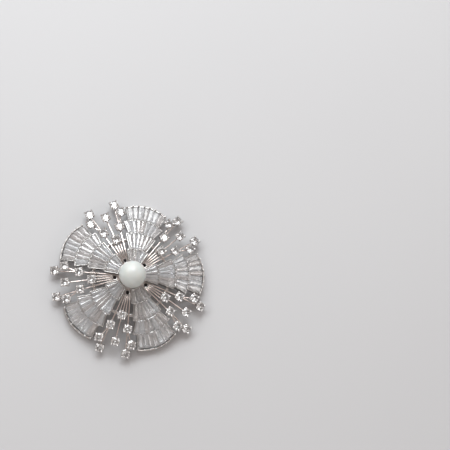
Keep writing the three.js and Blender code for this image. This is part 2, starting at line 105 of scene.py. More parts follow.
class Graph:
    """Adds nodes and links to one node tree."""

    def __init__(self, tree: bpy.types.NodeTree) -> None:
        """Keeps the tree that nodes are added to.

        Args:
            tree: A shader or geometry node tree.
        """
        self.tree = tree

    def node(
        self,
        kind: str,
        settings: Optional[dict] = None,
        inputs: Optional[dict] = None,
    ) -> bpy.types.Node:
        """Adds a node, sets it up and fills its sockets.

        Args:
            kind: The node's type name.
            settings: Its properties.
            inputs: Values, sockets or Numbers by socket name or index.

        Returns:
            The new node.
        """
        node = self.tree.nodes.new(kind)
        for name, value in (settings or {}).items():
            setattr(node, name, value)
        self.fill(node, inputs or {})
        return node

    def fill(self, node: bpy.types.Node, inputs: dict) -> None:
        """Fills a node's sockets.

        Args:
            node: The node.
            inputs: Values, sockets or Numbers by socket name or index.
        """
        for key, value in inputs.items():
            value = value.socket if isinstance(value, Number) else value
            if isinstance(value, bpy.types.NodeSocket):
                self.tree.links.new(value, node.inputs[key])
            else:
                node.inputs[key].default_value = value

    def mixed(self, share: "Number", first: object, second: object) -> bpy.types.NodeSocket:
        """Mixes two colours.

        Args:
            share: How much of the second colour there is, from 0 to 1.
            first: A colour or a colour socket.
            second: A colour or a colour socket.

        Returns:
            The mixed colour's socket.
        """
        first, second = (
            (*colour, 1.0) if isinstance(colour, tuple) else colour
            for colour in (first, second)
        )
        node = self.node("ShaderNodeMix", {"data_type": "RGBA"}, {0: share, 6: first, 7: second})
        return node.outputs[2]

    def noise(self, place: bpy.types.NodeSocket, scale: float, detail: float = 2.0) -> "Number":
        """Adds cloudy noise.

        Args:
            place: The coordinates' socket.
            scale: Clouds to a metre.
            detail: How many finer layers there are.

        Returns:
            The noise, from 0 to 1.
        """
        inputs = {"Vector": place, "Scale": scale, "Detail": detail}
        return Number(self, self.node("ShaderNodeTexNoise", None, inputs).outputs["Fac"])


class Number:
    """A socket that gives a number, with the arithmetic that the trees need."""

    def __init__(self, graph: Graph, socket: bpy.types.NodeSocket) -> None:
        """Keeps the socket and the graph that it belongs to.

        Args:
            graph: The graph that new nodes go to.
            socket: The socket that gives the number.
        """
        self.graph = graph
        self.socket = socket

    def _math(self, operation: str, first: object, second: object = 0.0) -> "Number":
        """Adds a Math node.

        Args:
            operation: The node's operation.
            first: Its first number.
            second: Its second number.

        Returns:
            The result.
        """
        node = self.graph.node("ShaderNodeMath", {"operation": operation}, {0: first, 1: second})
        return Number(self.graph, node.outputs[0])

    def __add__(self, other: object) -> "Number":
        """Adds.

        Args:
            other: What is added.

        Returns:
            The sum.
        """
        return self._math("ADD", self, other)

    def __sub__(self, other: object) -> "Number":
        """Subtracts.

        Args:
            other: What is taken away.

        Returns:
            The difference.
        """
        return self._math("SUBTRACT", self, other)

    def __mul__(self, other: object) -> "Number":
        """Multiplies.

        Args:
            other: The factor.

        Returns:
            The product.
        """
        return self._math("MULTIPLY", self, other)

    def clamped(self) -> "Number":
        """Limits the number to 0 to 1.

        Returns:
            The limited number.
        """
        return self._math("MINIMUM", self._math("MAXIMUM", self, 0.0), 1.0)


# ---- Finishes ----------------------------------------------------------------------


@dataclass(frozen=True)
class Finish:
    """What every finish shares: its name and its shader's start.

    Attributes:
        name: The material's name.
    """

    name: str

    def start(self) -> Tuple[bpy.types.Material, Graph, bpy.types.Node]:
        """Makes an empty material with a Principled shader.

        Returns:
            The material, its graph and its shader node.
        """
        material = bpy.data.materials.new(self.name)
        material.use_nodes = True
        material.node_tree.nodes.clear()
        graph = Graph(material.node_tree)
        shader = graph.node("ShaderNodeBsdfPrincipled")
        graph.node("ShaderNodeOutputMaterial", None, {"Surface": shader.outputs[0]})
        return material, graph, shader

    @staticmethod
    def place(graph: Graph) -> bpy.types.NodeSocket:
        """Gives the object coordinates, in metres.

        Args:
            graph: The material's graph.

        Returns:
            The coordinates' socket.
        """
        return graph.node("ShaderNodeTexCoord").outputs["Object"]

    @staticmethod
    def attribute(graph: Graph, name: str) -> Number:
        """Reads a number that a mesh carries.

        Args:
            graph: The material's graph.
            name: The attribute's name.

        Returns:
            The number.
        """
        reader = graph.node("ShaderNodeAttribute", {"attribute_name": name})
        return Number(graph, reader.outputs["Fac"])

    @staticmethod
    def bump(graph: Graph, shader: bpy.types.Node, height: Number, depth: float) -> None:
        """Roughens the shader's normal.

        Args:
            graph: The material's graph.
            shader: The shader that gets the normal.
            height: The relief, from 0 to 1.
            depth: The relief's depth in millimetres.
        """
        inputs = {"Strength": 1.0, "Distance": depth * MM, "Height": height}
        relief = graph.node("ShaderNodeBump", None, inputs)
        graph.fill(shader, {"Normal": relief.outputs["Normal"]})


@dataclass(frozen=True)
class Metal(Finish):
    """Polished plated metal, with painted shade that makes it duller and darker where it lies
    deep.

    Attributes:
        colour: The bright metal.
        smudge_and_shade_colour: The metal in recesses.
        roughness: Where it is best polished.
        spread: How much rougher smudges and recesses are.
        relief: The depth of its fine casting texture, in millimetres.
        painted_shade_strength: How far recesses go towards the tarnish, from 0 to 1.
        smudges: Smudges to a metre.
        grain: Grains of the casting texture to a metre.
        even: The smudge noise that leaves the colour as it is.
        patches: How strongly smudges change the colour.
    """

    colour: Colour = (0.74, 0.73, 0.72)
    smudge_and_shade_colour: Colour = (0.22, 0.18, 0.165)
    roughness: float = 0.12
    spread: float = 0.16
    relief: float = 0.012
    painted_shade_strength: float = 0.75
    smudges: float = 420.0
    grain: float = 5200.0
    even: float = 0.45
    patches: float = 0.5

    def material(self) -> bpy.types.Material:
        """Builds the material.

        Returns:
            The finished material.
        """
        material, graph, shader = self.start()
        place = self.place(graph)
        smudges = graph.noise(place, self.smudges, 3.0)
        grain = graph.noise(place, self.grain)
        # Painted shade: the number that each mesh carries darkens and dulls the metal where it
        # lies deep or sits in shade; smudges add the metal's own patchy tone.
        recess = self.attribute(graph, "recess")
        dull = (recess * self.painted_shade_strength + (smudges - self.even) * self.patches).clamped()
        graph.fill(shader, {
            "Base Color": graph.mixed(dull, self.colour, self.smudge_and_shade_colour),
            "Roughness": ((smudges + recess) * self.spread + self.roughness).clamped(),
            "Metallic": 1.0,
        })
        self.bump(graph, shader, grain * 0.6 + smudges * 0.4, self.relief)
        return material


@dataclass(frozen=True)
class Gem(Finish):
    """A clear cut stone.

    Attributes:
        cool: The tint of the clearest stones.
        warm: The tint of the warmest stones.
        ior: The index of refraction.
        haze: The roughness of a clean facet.
        smear: How much rougher a handled facet is.
        clear: How much of the light passes through; the rest is returned from its back.
        film: Patches of handling film to a metre.
        film_tint: How strongly the film changes the tint, and its middle value.
        warming: How far a stone's own tone takes it to the warm tint.
        warm_haze: How much rougher the warmest stones are.
    """

    cool: Colour = (0.94, 0.97, 1.0)
    warm: Colour = (0.8, 0.755, 0.735)
    ior: float = 2.0
    haze: float = 0.015
    smear: float = 0.07
    clear: float = 0.74
    film: float = 700.0
    film_tint: float = 0.4
    warming: float = 0.8
    warm_haze: float = 0.02

    def material(self) -> bpy.types.Material:
        """Builds the material.

        Returns:
            The finished material.
        """
        material, graph, shader = self.start()
        film = graph.noise(self.place(graph), self.film)
        tone = self.attribute(graph, "tone")
        warmth = (tone * self.warming + (film - self.film_tint) * self.film_tint).clamped()
        graph.fill(shader, {
            "Base Color": graph.mixed(warmth, self.cool, self.warm),
            "Roughness": (film * film * self.smear + tone * self.warm_haze + self.haze).clamped(),
            "Transmission Weight": self.clear,
            "IOR": self.ior,
        })
        return material


@dataclass(frozen=True)
class Nacre(Finish):
    """Pearl: a soft body under a thin bright skin, with faint clouds of colour.

    Attributes:
        body: The pearl's own colour.
        rose: The warmer clouds.
        green: The cooler clouds.
        contrast: How sharply one colour goes over into another.
    """

    body: Colour = (0.565, 0.6, 0.585)
    rose: Colour = (0.605, 0.59, 0.58)
    green: Colour = (0.52, 0.57, 0.545)
    contrast: float = 3.0

    def material(self) -> bpy.types.Material:
        """Builds the material.

        Returns:
            The finished material.
        """
        material, graph, shader = self.start()
        place = self.place(graph)
        clouds = graph.noise(place, 170.0)
        veils = graph.noise(place, 330.0, 3.0)
        pits = graph.noise(place, 1500.0)
        rosy = ((clouds - 0.45) * self.contrast).clamped()
        greenish = ((veils - 0.52) * self.contrast).clamped()
        colour = graph.mixed(rosy, self.body, self.rose)
        graph.fill(shader, {
            "Base Color": graph.mixed(greenish, colour, self.green),
            "Roughness": (veils * 0.18 + 0.22).clamped(),
            "Subsurface Weight": 0.85,
            "Subsurface Radius": (1.0, 0.8, 0.7),
            "Subsurface Scale": 3.5 * MM,
            "Coat Weight": 0.3,
            "Coat Roughness": 0.24,
            "Sheen Weight": 0.25,
            "Sheen Roughness": 0.35,
            "Sheen Tint": (1.0, 0.93, 0.92, 1.0),
        })
        self.bump(graph, shader, pits, 0.006)
        return material


@dataclass(frozen=True)
class PaleFloor(Finish):
    """The plain pale surface that the pin lies on.

    Attributes:
        colour: Its colour.
        shade: Its faint second tone.
    """

    colour: Colour = (0.545, 0.548, 0.56)
    shade: Colour = (0.53, 0.532, 0.545)

    def material(self) -> bpy.types.Material:
        """Builds the material.

        Returns:
            The finished material.
        """
        material, graph, shader = self.start()
        clouds = graph.noise(self.place(graph), 12.0, 1.0)
        graph.fill(shader, {
            "Base Color": graph.mixed(clouds, self.colour, self.shade),
            "Roughness": 0.9,
            "Specular IOR Level": 0.1,
        })
        return material


@dataclass(frozen=True)
class Finishes:
    """Every material of the pin, made once.

    Attributes:
        rhodium: Bright plating on the cast metal.
        wires: The plating on the spray wires, which lie deep, tinted pinkish-tan as painted
            reflection of the pink surroundings.
        steel: The pin's steel.
        blackened: The inside of the root eyelets, painted near-black as painted shade for the dark
            holes at the sprays' roots.
        baguette: The tapered stones.
        brilliant: The round stones.
        nacre: The pearl.
        floor: The surface below.
    """

    rhodium: bpy.types.Material
    wires: bpy.types.Material
    steel: bpy.types.Material
    blackened: bpy.types.Material
    baguette: bpy.types.Material
    brilliant: bpy.types.Material
    nacre: bpy.types.Material
    floor: bpy.types.Material

    @classmethod
    def make(cls) -> "Finishes":
        """Builds every material.

        Returns:
            The finishes.
        """
        return cls(
            rhodium=Metal("rhodium_plating").material(),
            # The spray wires' plating is tinted pinkish-tan: painted reflection of the pink
            # surroundings.
            wires=Metal("rhodium_wires", (0.82, 0.745, 0.71), (0.27, 0.2, 0.175)).material(),
            steel=Metal("polished_steel", (0.72, 0.73, 0.74), (0.4, 0.4, 0.4), 0.2).material(),
            # Near-black metal in the eyelet wells: painted shade for the dark holes at the roots.
            blackened=Metal(
                "blackened_metal", (0.05, 0.04, 0.04), (0.02, 0.015, 0.015), 0.5, 0.3
            ).material(),
            baguette=Gem("baguette_crystal").material(),
            brilliant=Gem(
                "round_crystal", (0.97, 0.98, 1.0), (0.95, 0.93, 0.92), 2.2, clear=0.93
            ).material(),
            nacre=Nacre("pearl_nacre").material(),
            floor=PaleFloor("pale_floor").material(),
        )


# ---- Meshes ------------------------------------------------------------------------


class Shell:
    """Collects closed shells in millimetres and makes one mesh object of them."""

    def __init__(self) -> None:
        """Starts with no shells."""
        self.vertices: List[Vector] = []
        self.faces: List[Tuple[int, ...]] = []

    def add(self, vertices: Iterable[Vector], faces: Iterable[Sequence[int]]) -> None:
        """Adds vertices and the faces between them.

        Args:
            vertices: Places in millimetres.
            faces: Corners, counted from the first of these vertices.
        """
        first = len(self.vertices)
        self.vertices.extend(Vector(vertex) for vertex in vertices)
        self.faces.extend(tuple(first + corner for corner in face) for face in faces)

    def loft(self, rings: Sequence[Ring], closed: bool = False) -> None:
        """Skins rings of equally many points, with a cap on each end.

        Args:
            rings: The rings in order.
            closed: Whether the last ring joins the first, with no caps.
        """
        count, sides = len(rings), len(rings[0])
        faces: List[Tuple[int, ...]] = []
        for ring in range(count if closed else count - 1):
            low, high = ring * sides, (ring + 1) % count * sides
            for side in range(sides):
                after = (side + 1) % sides
                faces.append((low + side, low + after, high + after, high + side))
        if not closed:
            faces.append(tuple(range(sides))[::-1])
            faces.append(tuple(range((count - 1) * sides, count * sides)))
        self.add([point for ring in rings for point in ring], faces)

    def lathe(
        self,
        profile: Sequence[Tuple[float, float]],
        sides: int,
        matrix: Optional[Matrix] = None,
    ) -> None:
        """Turns a closed profile round Z.

        Args:
            profile: Radius and height of each corner, closing on itself.
            sides: Steps to a turn.
            matrix: Where the turned shell is put.
        """
        matrix = matrix or Matrix.Identity(4)
        rings = []
        for step in range(sides):
            angle = math.tau * step / sides
            across = Vector((math.cos(angle), math.sin(angle), 0.0))
            rings.append([matrix @ (across * radius + Vector((0, 0, z))) for radius, z in profile])
        self.loft(rings, closed=True)

    def sweep(
        self,
        path: Sequence[Vector],
        outline: Callable[[float], Sequence[Tuple[float, float]]],
        up: Callable[[Vector], Vector],
    ) -> None:
        """Carries an outline along a path.

        Args:
            path: The path's points.
            outline: The outline at a share of the path, as sideways and upward offsets.
            up: The upward direction at a point.
        """
        rings = []
        for index, point in enumerate(path):
            before, after = path[max(index - 1, 0)], path[min(index + 1, len(path) - 1)]
            upward = up(point).normalized()
            aside = (after - before).cross(upward).normalized()
            share = index / (len(path) - 1)
            rings.append([point + aside * x + upward * y for x, y in outline(share)])
        self.loft(rings)

    def object(self, name: str, smooth_angle: Optional[float] = 35.0) -> bpy.types.Object:
        """Makes the object, with its normals out and its soft edges smooth.

        Args:
            name: The object's name.
            smooth_angle: Edges under this many degrees are smooth; None leaves flat facets.

        Returns:
            The new object.
        """
        mesh = bpy.data.meshes.new(name)
        mesh.from_pydata([vertex * MM for vertex in self.vertices], [], self.faces)
        made = Workshop.placed(name, mesh)
        Workshop.mend(made)
        Workshop.smooth(made, smooth_angle)
        return made


class Workshop:
    """What is done to objects of every kind."""

    @staticmethod
    def placed(name: str, data: bpy.types.ID) -> bpy.types.Object:
        """Makes an object and puts it in the scene.

        Args:
            name: The object's name.
            data: Its mesh, light or camera.

        Returns:
            The new object.
        """
        made = bpy.data.objects.new(name, data)
        bpy.context.scene.collection.objects.link(made)
        return made

    @staticmethod
    def bake(made: bpy.types.Object) -> None:
        """Makes a plain mesh of what an object's modifiers give.

        Args:
            made: The object.
        """
        bpy.context.view_layer.update()
        evaluated = made.evaluated_get(bpy.context.evaluated_depsgraph_get())
        mesh = bpy.data.meshes.new_from_object(evaluated)
        made.modifiers.clear()
        spent, made.data = made.data, mesh
        bpy.data.meshes.remove(spent)

    @staticmethod
    def mend(made: bpy.types.Object) -> None:
        """Merges doubled corners and turns every shell's faces outwards.

        Args:
            made: The object to mend.
        """
        work = bmesh.new()
        work.from_mesh(made.data)
        bmesh.ops.remove_doubles(work, verts=work.verts, dist=SAME_PLACE)
        bmesh.ops.recalc_face_normals(work, faces=work.faces)
        work.to_mesh(made.data)
        work.free()

    @staticmethod
    def smooth(made: bpy.types.Object, angle: Optional[float]) -> None:
        """Shades edges under an angle smooth.

        Args:
            made: The object.
            angle: The limit in degrees; None leaves flat facets.
        """
        if angle is None:
            made.data.shade_flat()
        else:
            made.data.shade_smooth()
            made.data.set_sharp_from_angle(angle=math.radians(angle))

    @staticmethod
    def dress(made: bpy.types.Object, *materials: bpy.types.Material) -> None:
        """Gives an object its only materials.

        Args:
            made: The object.
            *materials: The materials.
        """
        made.data.materials.clear()
        for material in materials:
            made.data.materials.append(material)

    @staticmethod
    def note(made: bpy.types.Object, name: str, value: Callable[[Vector], float]) -> None:
        """Writes a number on each vertex.

        Args:
            made: The object.
            name: The attribute's name.
            value: The number at a place in millimetres.
        """
        columns = made.data.attributes
        layer = columns.get(name) or columns.new(name, "FLOAT", "POINT")
        values = [value(vertex.co / MM) for vertex in made.data.vertices]
        layer.data.foreach_set("value", values)

    @staticmethod
    def points(
        name: str, places: Sequence[Vector], columns: Dict[str, Sequence]
    ) -> bpy.types.Object:
        """Makes an object of loose points that carry attributes.

        Args:
            name: The object's name.
            places: The points in millimetres.
            columns: Attribute values by name, numbers or vectors.

        Returns:
            The new object.
        """
        mesh = bpy.data.meshes.new(name)
        mesh.from_pydata([place * MM for place in places], [], [])
        for key, values in columns.items():
            if isinstance(values[0], Vector):
                layer = mesh.attributes.new(key, "FLOAT_VECTOR", "POINT")
                layer.data.foreach_set("vector", [part for value in values for part in value])
            else:
                layer = mesh.attributes.new(key, "FLOAT", "POINT")
                layer.data.foreach_set("value", list(values))
        return Workshop.placed(name, mesh)

    @staticmethod
    def lines(name: str, paths: Sequence[Sequence[Vector]]) -> bpy.types.Object:
        """Makes an object of open lines.

        Args:
            name: The object's name.
            paths: The points of each line in millimetres.

        Returns:
            The new object.
        """
        vertices: List[Vector] = []
        edges: List[Tuple[int, int]] = []
        for path in paths:
            first = len(vertices)
            vertices.extend(point * MM for point in path)
            edges.extend((first + step, first + step + 1) for step in range(len(path) - 1))
        mesh = bpy.data.meshes.new(name)
        mesh.from_pydata(vertices, edges, [])
        return Workshop.placed(name, mesh)

    @staticmethod
    def discard(made: bpy.types.Object) -> None:
        """Removes an object and its mesh.

        Args:
            made: The object.
        """
        mesh = made.data
        bpy.data.objects.remove(made)
        bpy.data.meshes.remove(mesh)

    @staticmethod
    def join(name: str, pieces: Sequence[bpy.types.Object]) -> bpy.types.Object:
        """Joins meshes into one, keeping their materials.

        Args:
            name: The joined object's name.
            pieces: The objects, all at the origin.

        Returns:
            The joined object.
        """
        with bpy.context.temp_override(
            active_object=pieces[0], selected_editable_objects=list(pieces)
        ):
            bpy.ops.object.join()
        pieces[0].name = pieces[0].data.name = name
        return pieces[0]


class GrowthTree:
    """A Geometry Nodes tree with named inputs, which grows a mesh from points or lines."""

    def __init__(self, name: str, **inputs: str) -> None:
        """Makes the tree with its inputs and one for the material.

        Args:
            name: The tree's name.
            **inputs: Kinds of socket by input name.
        """
        self.tree = bpy.data.node_groups.new(name, "GeometryNodeTree")
        self.graph = Graph(self.tree)
        self.identifiers: Dict[str, str] = {}
        face = self.tree.interface
        face.new_socket("Geometry", in_out="INPUT", socket_type="NodeSocketGeometry")
        for key, kind in {**inputs, "Material": "Material"}.items():
            made = face.new_socket(key, in_out="INPUT", socket_type=f"NodeSocket{kind}")
            self.identifiers[key] = made.identifier
        face.new_socket("Geometry", in_out="OUTPUT", socket_type="NodeSocketGeometry")
        self.given = self.graph.node("NodeGroupInput").outputs

    def step(
        self, kind: str, settings: Optional[dict] = None, inputs: Optional[dict] = None
    ) -> bpy.types.NodeOutputs:
        """Adds a node.

        Args:
            kind: The node's type name.
            settings: Its properties.
            inputs: What fills its sockets.

        Returns:
            The node's outputs.
        """
        return self.graph.node(kind, settings, inputs).outputs

    def named(self, name: str, kind: str = "FLOAT") -> bpy.types.NodeSocket:
        """Reads an attribute of the points.

        Args:
            name: The attribute's name.
            kind: Its data type.

        Returns:
            The attribute's socket.
        """
        return self.step("GeometryNodeInputNamedAttribute", {"data_type": kind}, {"Name": name})[0]

    def end(self, geometry: bpy.types.NodeSocket, smooth: bool) -> None:
        """Realizes the instances, shades them, sets the material and ends the tree.

        Args:
            geometry: The geometry that was grown.
            smooth: Whether the faces are shaded smooth.
        """
        real = self.step("GeometryNodeRealizeInstances", None, {"Geometry": geometry})[0]
        shaded = self.step(
            "GeometryNodeSetShadeSmooth", None, {"Geometry": real, "Shade Smooth": smooth}
        )[0]
        inputs = {"Geometry": shaded, "Material": self.given["Material"]}
        dressed = self.step("GeometryNodeSetMaterial", None, inputs)[0]
        self.graph.node("NodeGroupOutput", None, {0: dressed})

    def grow(self, carrier: bpy.types.Object, values: dict) -> bpy.types.Object:
        """Runs the tree on an object and leaves it as a plain mesh.

        Args:
            carrier: The object of points or lines.
            values: The inputs' values by name.

        Returns:
            The carrier, now with the grown mesh.
        """
        modifier = carrier.modifiers.new(self.tree.name, "NODES")
        modifier.node_group = self.tree
        for key, value in values.items():
            modifier[self.identifiers[key]] = value
        Workshop.bake(carrier)
        Workshop.mend(carrier)
        Workshop.dress(carrier, values["Material"])
        columns = carrier.data.attributes
        for key in [layer.name for layer in columns]:
            if key in Growth.SPENT:
                columns.remove(columns[key])
        return carrier


class Growth:
    """The three trees that make what repeats or follows a line."""

    SPENT = ("turn", "inner", "outer", "length", "place")

    def __init__(self) -> None:
        """Builds the trees."""
        self.copies = self._copies()
        self.beads = self._beads()
        self.strips = self._strips()

    @staticmethod
    def _copies() -> GrowthTree:
        """Makes the tree that sets a shape on each point, turned, tapered and stretched.

        Returns:
            The tree. The shape's width follows "inner" to "outer" over its length.
        """
        tree = GrowthTree("set_copies", Shape="Object", Smooth="Bool")
        source = tree.step("GeometryNodeObjectInfo", None, {"Object": tree.given["Shape"]})
        here = tree.step("GeometryNodeInputPosition")[0]
        kept = tree.step(
            "GeometryNodeStoreNamedAttribute",
            {"data_type": "FLOAT_VECTOR", "domain": "POINT"},
            {"Geometry": source["Geometry"], "Name": "place", "Value": here},
        )[0]
        placed = tree.step(
            "GeometryNodeInstanceOnPoints", None,
            {"Points": tree.given["Geometry"], "Instance": kept},
        )[0]
        real = tree.step("GeometryNodeRealizeInstances", None, {"Geometry": placed})[0]
        place = tree.named("place", "FLOAT_VECTOR")
        x, y, z = (
            Number(tree.graph, part)
            for part in tree.step("ShaderNodeSeparateXYZ", None, {0: place})
        )
        inner = Number(tree.graph, tree.named("inner"))
        outer = Number(tree.graph, tree.named("outer"))
        length = Number(tree.graph, tree.named("length"))
        wide = x * (inner + (outer - inner) * y)
        shaped = tree.step("ShaderNodeCombineXYZ", None, {0: wide, 1: y * length, 2: z})[0]
        angles = tree.named("turn", "FLOAT_VECTOR")
        turn = tree.step("FunctionNodeEulerToRotation", None, {0: angles})[0]
        turned = tree.step("FunctionNodeRotateVector", None, {0: shaped, 1: turn})[0]
        inputs = {0: turned, 1: place}
        change = tree.step("ShaderNodeVectorMath", {"operation": "SUBTRACT"}, inputs)[0]
        moved = tree.step("GeometryNodeSetPosition", None, {"Geometry": real, "Offset": change})
        tree.end(moved[0], tree.given["Smooth"])
        return tree

    @staticmethod
    def _beads() -> GrowthTree:
        """Makes the tree that strings small beads along lines.

        Returns:
            The tree.
        """
        tree = GrowthTree("bead_lines", Spacing="Float", Radius="Float")
        curve = tree.step("GeometryNodeMeshToCurve", None, {"Mesh": tree.given["Geometry"]})[0]
        even = tree.step(
            "GeometryNodeResampleCurve", {"mode": "LENGTH"},
            {"Curve": curve, "Length": tree.given["Spacing"]},
        )[0]
        ball = tree.step(
            "GeometryNodeMeshUVSphere", None,
            {"Segments": 8, "Rings": 5, "Radius": tree.given["Radius"]},
        )[0]
        beads = tree.step(
            "GeometryNodeInstanceOnPoints", None, {"Points": even, "Instance": ball}
        )[0]
        tree.end(beads, True)
        return tree

    @staticmethod
    def _strips() -> GrowthTree:
        """Makes the tree that runs a strip on edge, with round corners, along lines.

        Returns:
            The tree.
        """
        tree = GrowthTree("wire_strips", Width="Float", Height="Float", Corner="Float")
        curve = tree.step("GeometryNodeMeshToCurve", None, {"Mesh": tree.given["Geometry"]})[0]
        upright = tree.step("GeometryNodeSetCurveNormal", {"mode": "Z_UP"}, {"Curve": curve})[0]
        section = tree.step(
            "GeometryNodeCurvePrimitiveQuadrilateral", None,
            {"Width": tree.given["Width"], "Height": tree.given["Height"]},
        )[0]
        rounded = tree.step(
            "GeometryNodeFilletCurve", {"mode": "POLY"},
            {"Curve": section, "Radius": tree.given["Corner"], "Count": 2},
        )[0]
        strip = tree.step(
            "GeometryNodeCurveToMesh", None,
            {"Curve": upright, "Profile Curve": rounded, "Fill Caps": True},
        )[0]
        tree.end(strip, True)
        return tree


@dataclass
class Placings:
    """Where copies of one shape are set.

    Attributes:
        rows: A row for each copy: its place, then a value for each column.
    """

    rows: List[tuple] = field(default_factory=list)

    COLUMNS = ("turn", "inner", "outer", "length", "tone")

    def add(
        self, place: Vector, turn: Matrix, inner: float = 1.0,
        outer: float = 1.0, length: float = 1.0, tone: float = 0.0,
    ) -> None:
        """Adds one copy.

        Args:
            place: Its place in millimetres.
            turn: Its rotation matrix.
            inner: How wide it is at its near end, in units of the shape.
            outer: How wide it is at its far end, in units of the shape.
            length: How long it is, in units of the shape.
            tone: The number that its material reads.
        """
        angles = Vector(turn.to_3x3().to_euler())
        self.rows.append((place, angles, inner, outer, length, tone))

    def grow(
        self, name: str, growth: Growth, shape: bpy.types.Object,
        material: bpy.types.Material, smooth: bool,
    ) -> bpy.types.Object:
        """Sets the copies and makes them one mesh.

        Args:
            name: The new object's name.
            growth: The trees.
            shape: The shape that is copied; the caller discards it.
            material: The copies' material.
            smooth: Whether they are shaded smooth.

        Returns:
            The new object.
        """
        places, *columns = zip(*self.rows)
        carrier = Workshop.points(name, places, dict(zip(self.COLUMNS, columns)))
        values = {"Shape": shape, "Smooth": smooth, "Material": material}
        return growth.copies.grow(carrier, values)


def frame_of(forward: Vector, up: Vector) -> Matrix:
    """Makes the rotation whose Y looks forward and whose Z is as near up as it can be.

    Args:
        forward: The direction of Y.
        up: The wished direction of Z.

    Returns:
        The rotation matrix.
    """
    y = forward.normalized()
    x = y.cross(up).normalized()
    return Matrix((x, y, x.cross(y))).transposed()


def eased(share: float) -> float:
    """Limits a share to 0 to 1 and rounds off its start and end.

    Args:
        share: The share.

    Returns:
        The eased share.
    """
    share = min(max(share, 0.0), 1.0)
    return share * share * (3 - 2 * share)


def arc(
    centre: Pair, radius: float, start: float, end: float, steps: int
) -> List[Pair]:
    """Gives points along an arc.

    Args:
        centre: The arc's centre.
        radius: Its radius.
        start: Its first angle in degrees.
        end: Its last angle in degrees.
        steps: How many steps it has.

    Returns:
        The points as pairs.
    """
    angles = [math.radians(start + (end - start) * step / steps) for step in range(steps + 1)]
    return [(centre[0] + radius * math.cos(a), centre[1] + radius * math.sin(a)) for a in angles]


def rounded_box(
    width: float, low: float, high: float, corner: float, steps: int = 3
) -> List[Pair]:
    """Gives the outline of a bar with round corners.

    Args:
        width: Its full width.
        low: Its lowest height.
        high: Its greatest height.
        corner: The radius of its corners.
        steps: Steps to a corner.

    Returns:
        The outline's points as pairs.
    """
    x = width / 2 - corner
    return [
        *arc((x, low + corner), corner, -90, 0, steps),
        *arc((x, high - corner), corner, 0, 90, steps),
        *arc((-x, high - corner), corner, 90, 180, steps),
        *arc((-x, low + corner), corner, 180, 270, steps),
    ]


# ---- The dome and the fans' plan ---------------------------------------------------


@dataclass(frozen=True)
class Dome:
    """The dome that the stones' tables lie on.

    Attributes:
        crown: The height of its top.
        radius: Its radius.
        petals: How many fans, and sprays, share its circle.
        first_fan: The angle of the first fan in degrees.
        bright: How far under the dome metal is still free of painted shade.
        dull: Over what further depth its painted shade grows to full.
    """

    crown: float = 10.6
    radius: float = 53.0
    petals: int = 5
    first_fan: float = 5.0
    bright: float = 0.35
    dull: float = 3.2

    def height(self, x: float, y: float) -> float:
        """Gives the dome's height over a point of the plan.

        Args:
            x: The point's first coordinate.
            y: Its second coordinate.

        Returns:
            The height.
        """
        return self.crown - self.radius + math.sqrt(self.radius**2 - x * x - y * y)

    def normal(self, point: Vector) -> Vector:
        """Gives the direction straight out of the dome at a point.

        Args:
            point: The point.

        Returns:
            The direction.
        """
        flat = Vector((point.x, point.y, 0.0))
        rise = math.sqrt(self.radius**2 - flat.length_squared)
        return Vector((point.x, point.y, rise)) / self.radius

    def point(self, x: float, y: float, lift: float = 0.0) -> Vector:
        """Gives the point over a place of the plan, lifted straight out of the dome.

        Args:
            x: The place's first coordinate.
            y: Its second coordinate.
            lift: How far it is lifted.

        Returns:
            The point.
        """
        there = Vector((x, y, self.height(x, y)))
        return there + self.normal(there) * lift

    def fan_turn(self, index: float) -> Matrix:
        """Gives the turn of a fan.

        Args:
            index: Which fan.

        Returns:
            The turn.
        """
        return Matrix.Rotation(math.radians(self.first_fan + 360 / self.petals * index), 4, "Z")

    def spray_turn(self, index: int) -> Matrix:
        """Gives the turn of a spray, halfway between two fans.

        Args:
            index: Which spray.

        Returns:
            The turn.
        """
        return self.fan_turn(index + 0.5)

    def depth(self, point: Vector) -> float:
        """Tells how deep a point lies under the dome.

        Args:
            point: The point.

        Returns:
            The share of the way to full painted shade, from 0 to 1.
        """
        # Painted shade: the deeper under the dome, the darker the metal is painted.
        below = self.height(point.x, point.y) - point.z
        return eased((below - self.bright) / self.dull)


@dataclass(frozen=True)
class Row:
    """One row of baguettes of a fan, seen in plan.

    Attributes:
        start: Where it begins, on the fan's middle line.
        end: Where it ends.
        inner_half: Half its width where it begins.
        outer_half: Half its width where it ends.
        stones: How many stones it has.
        arc_centre: The centre of the arc that it begins with, on the middle line.
        end_centre: The centre of the arc that it ends with.
    """

    start: float
    end: float
    inner_half: float
    outer_half: float
    stones: int
    arc_centre: float
    end_centre: float

    @staticmethod
    def on_arc(reach: float, centre: float, aside: float) -> float:
        """Gives how far out an arc is at a distance from the middle line.

        Args:
            reach: Where the arc crosses the middle line.
            centre: The arc's centre on the middle line.
            aside: The distance from the middle line.

        Returns:
            How far out the arc is there.
        """
        return centre + math.sqrt((reach - centre) ** 2 - aside**2)

    def place(self, across: float, along: float, shift: float = 0.0) -> Tuple[float, float]:
        """Gives a point of the row.

        Args:
            across: From -1 to 1 between its sides.
            along: From 0 to 1 outwards.
            shift: How far the point is moved sideways.

        Returns:
            The point in plan.
        """
        y = across * (self.inner_half + (self.outer_half - self.inner_half) * along) + shift
        inner = self.on_arc(self.start, self.arc_centre, y)
        outer = self.on_arc(self.end, self.end_centre, y)
        return inner + (outer - inner) * along, y


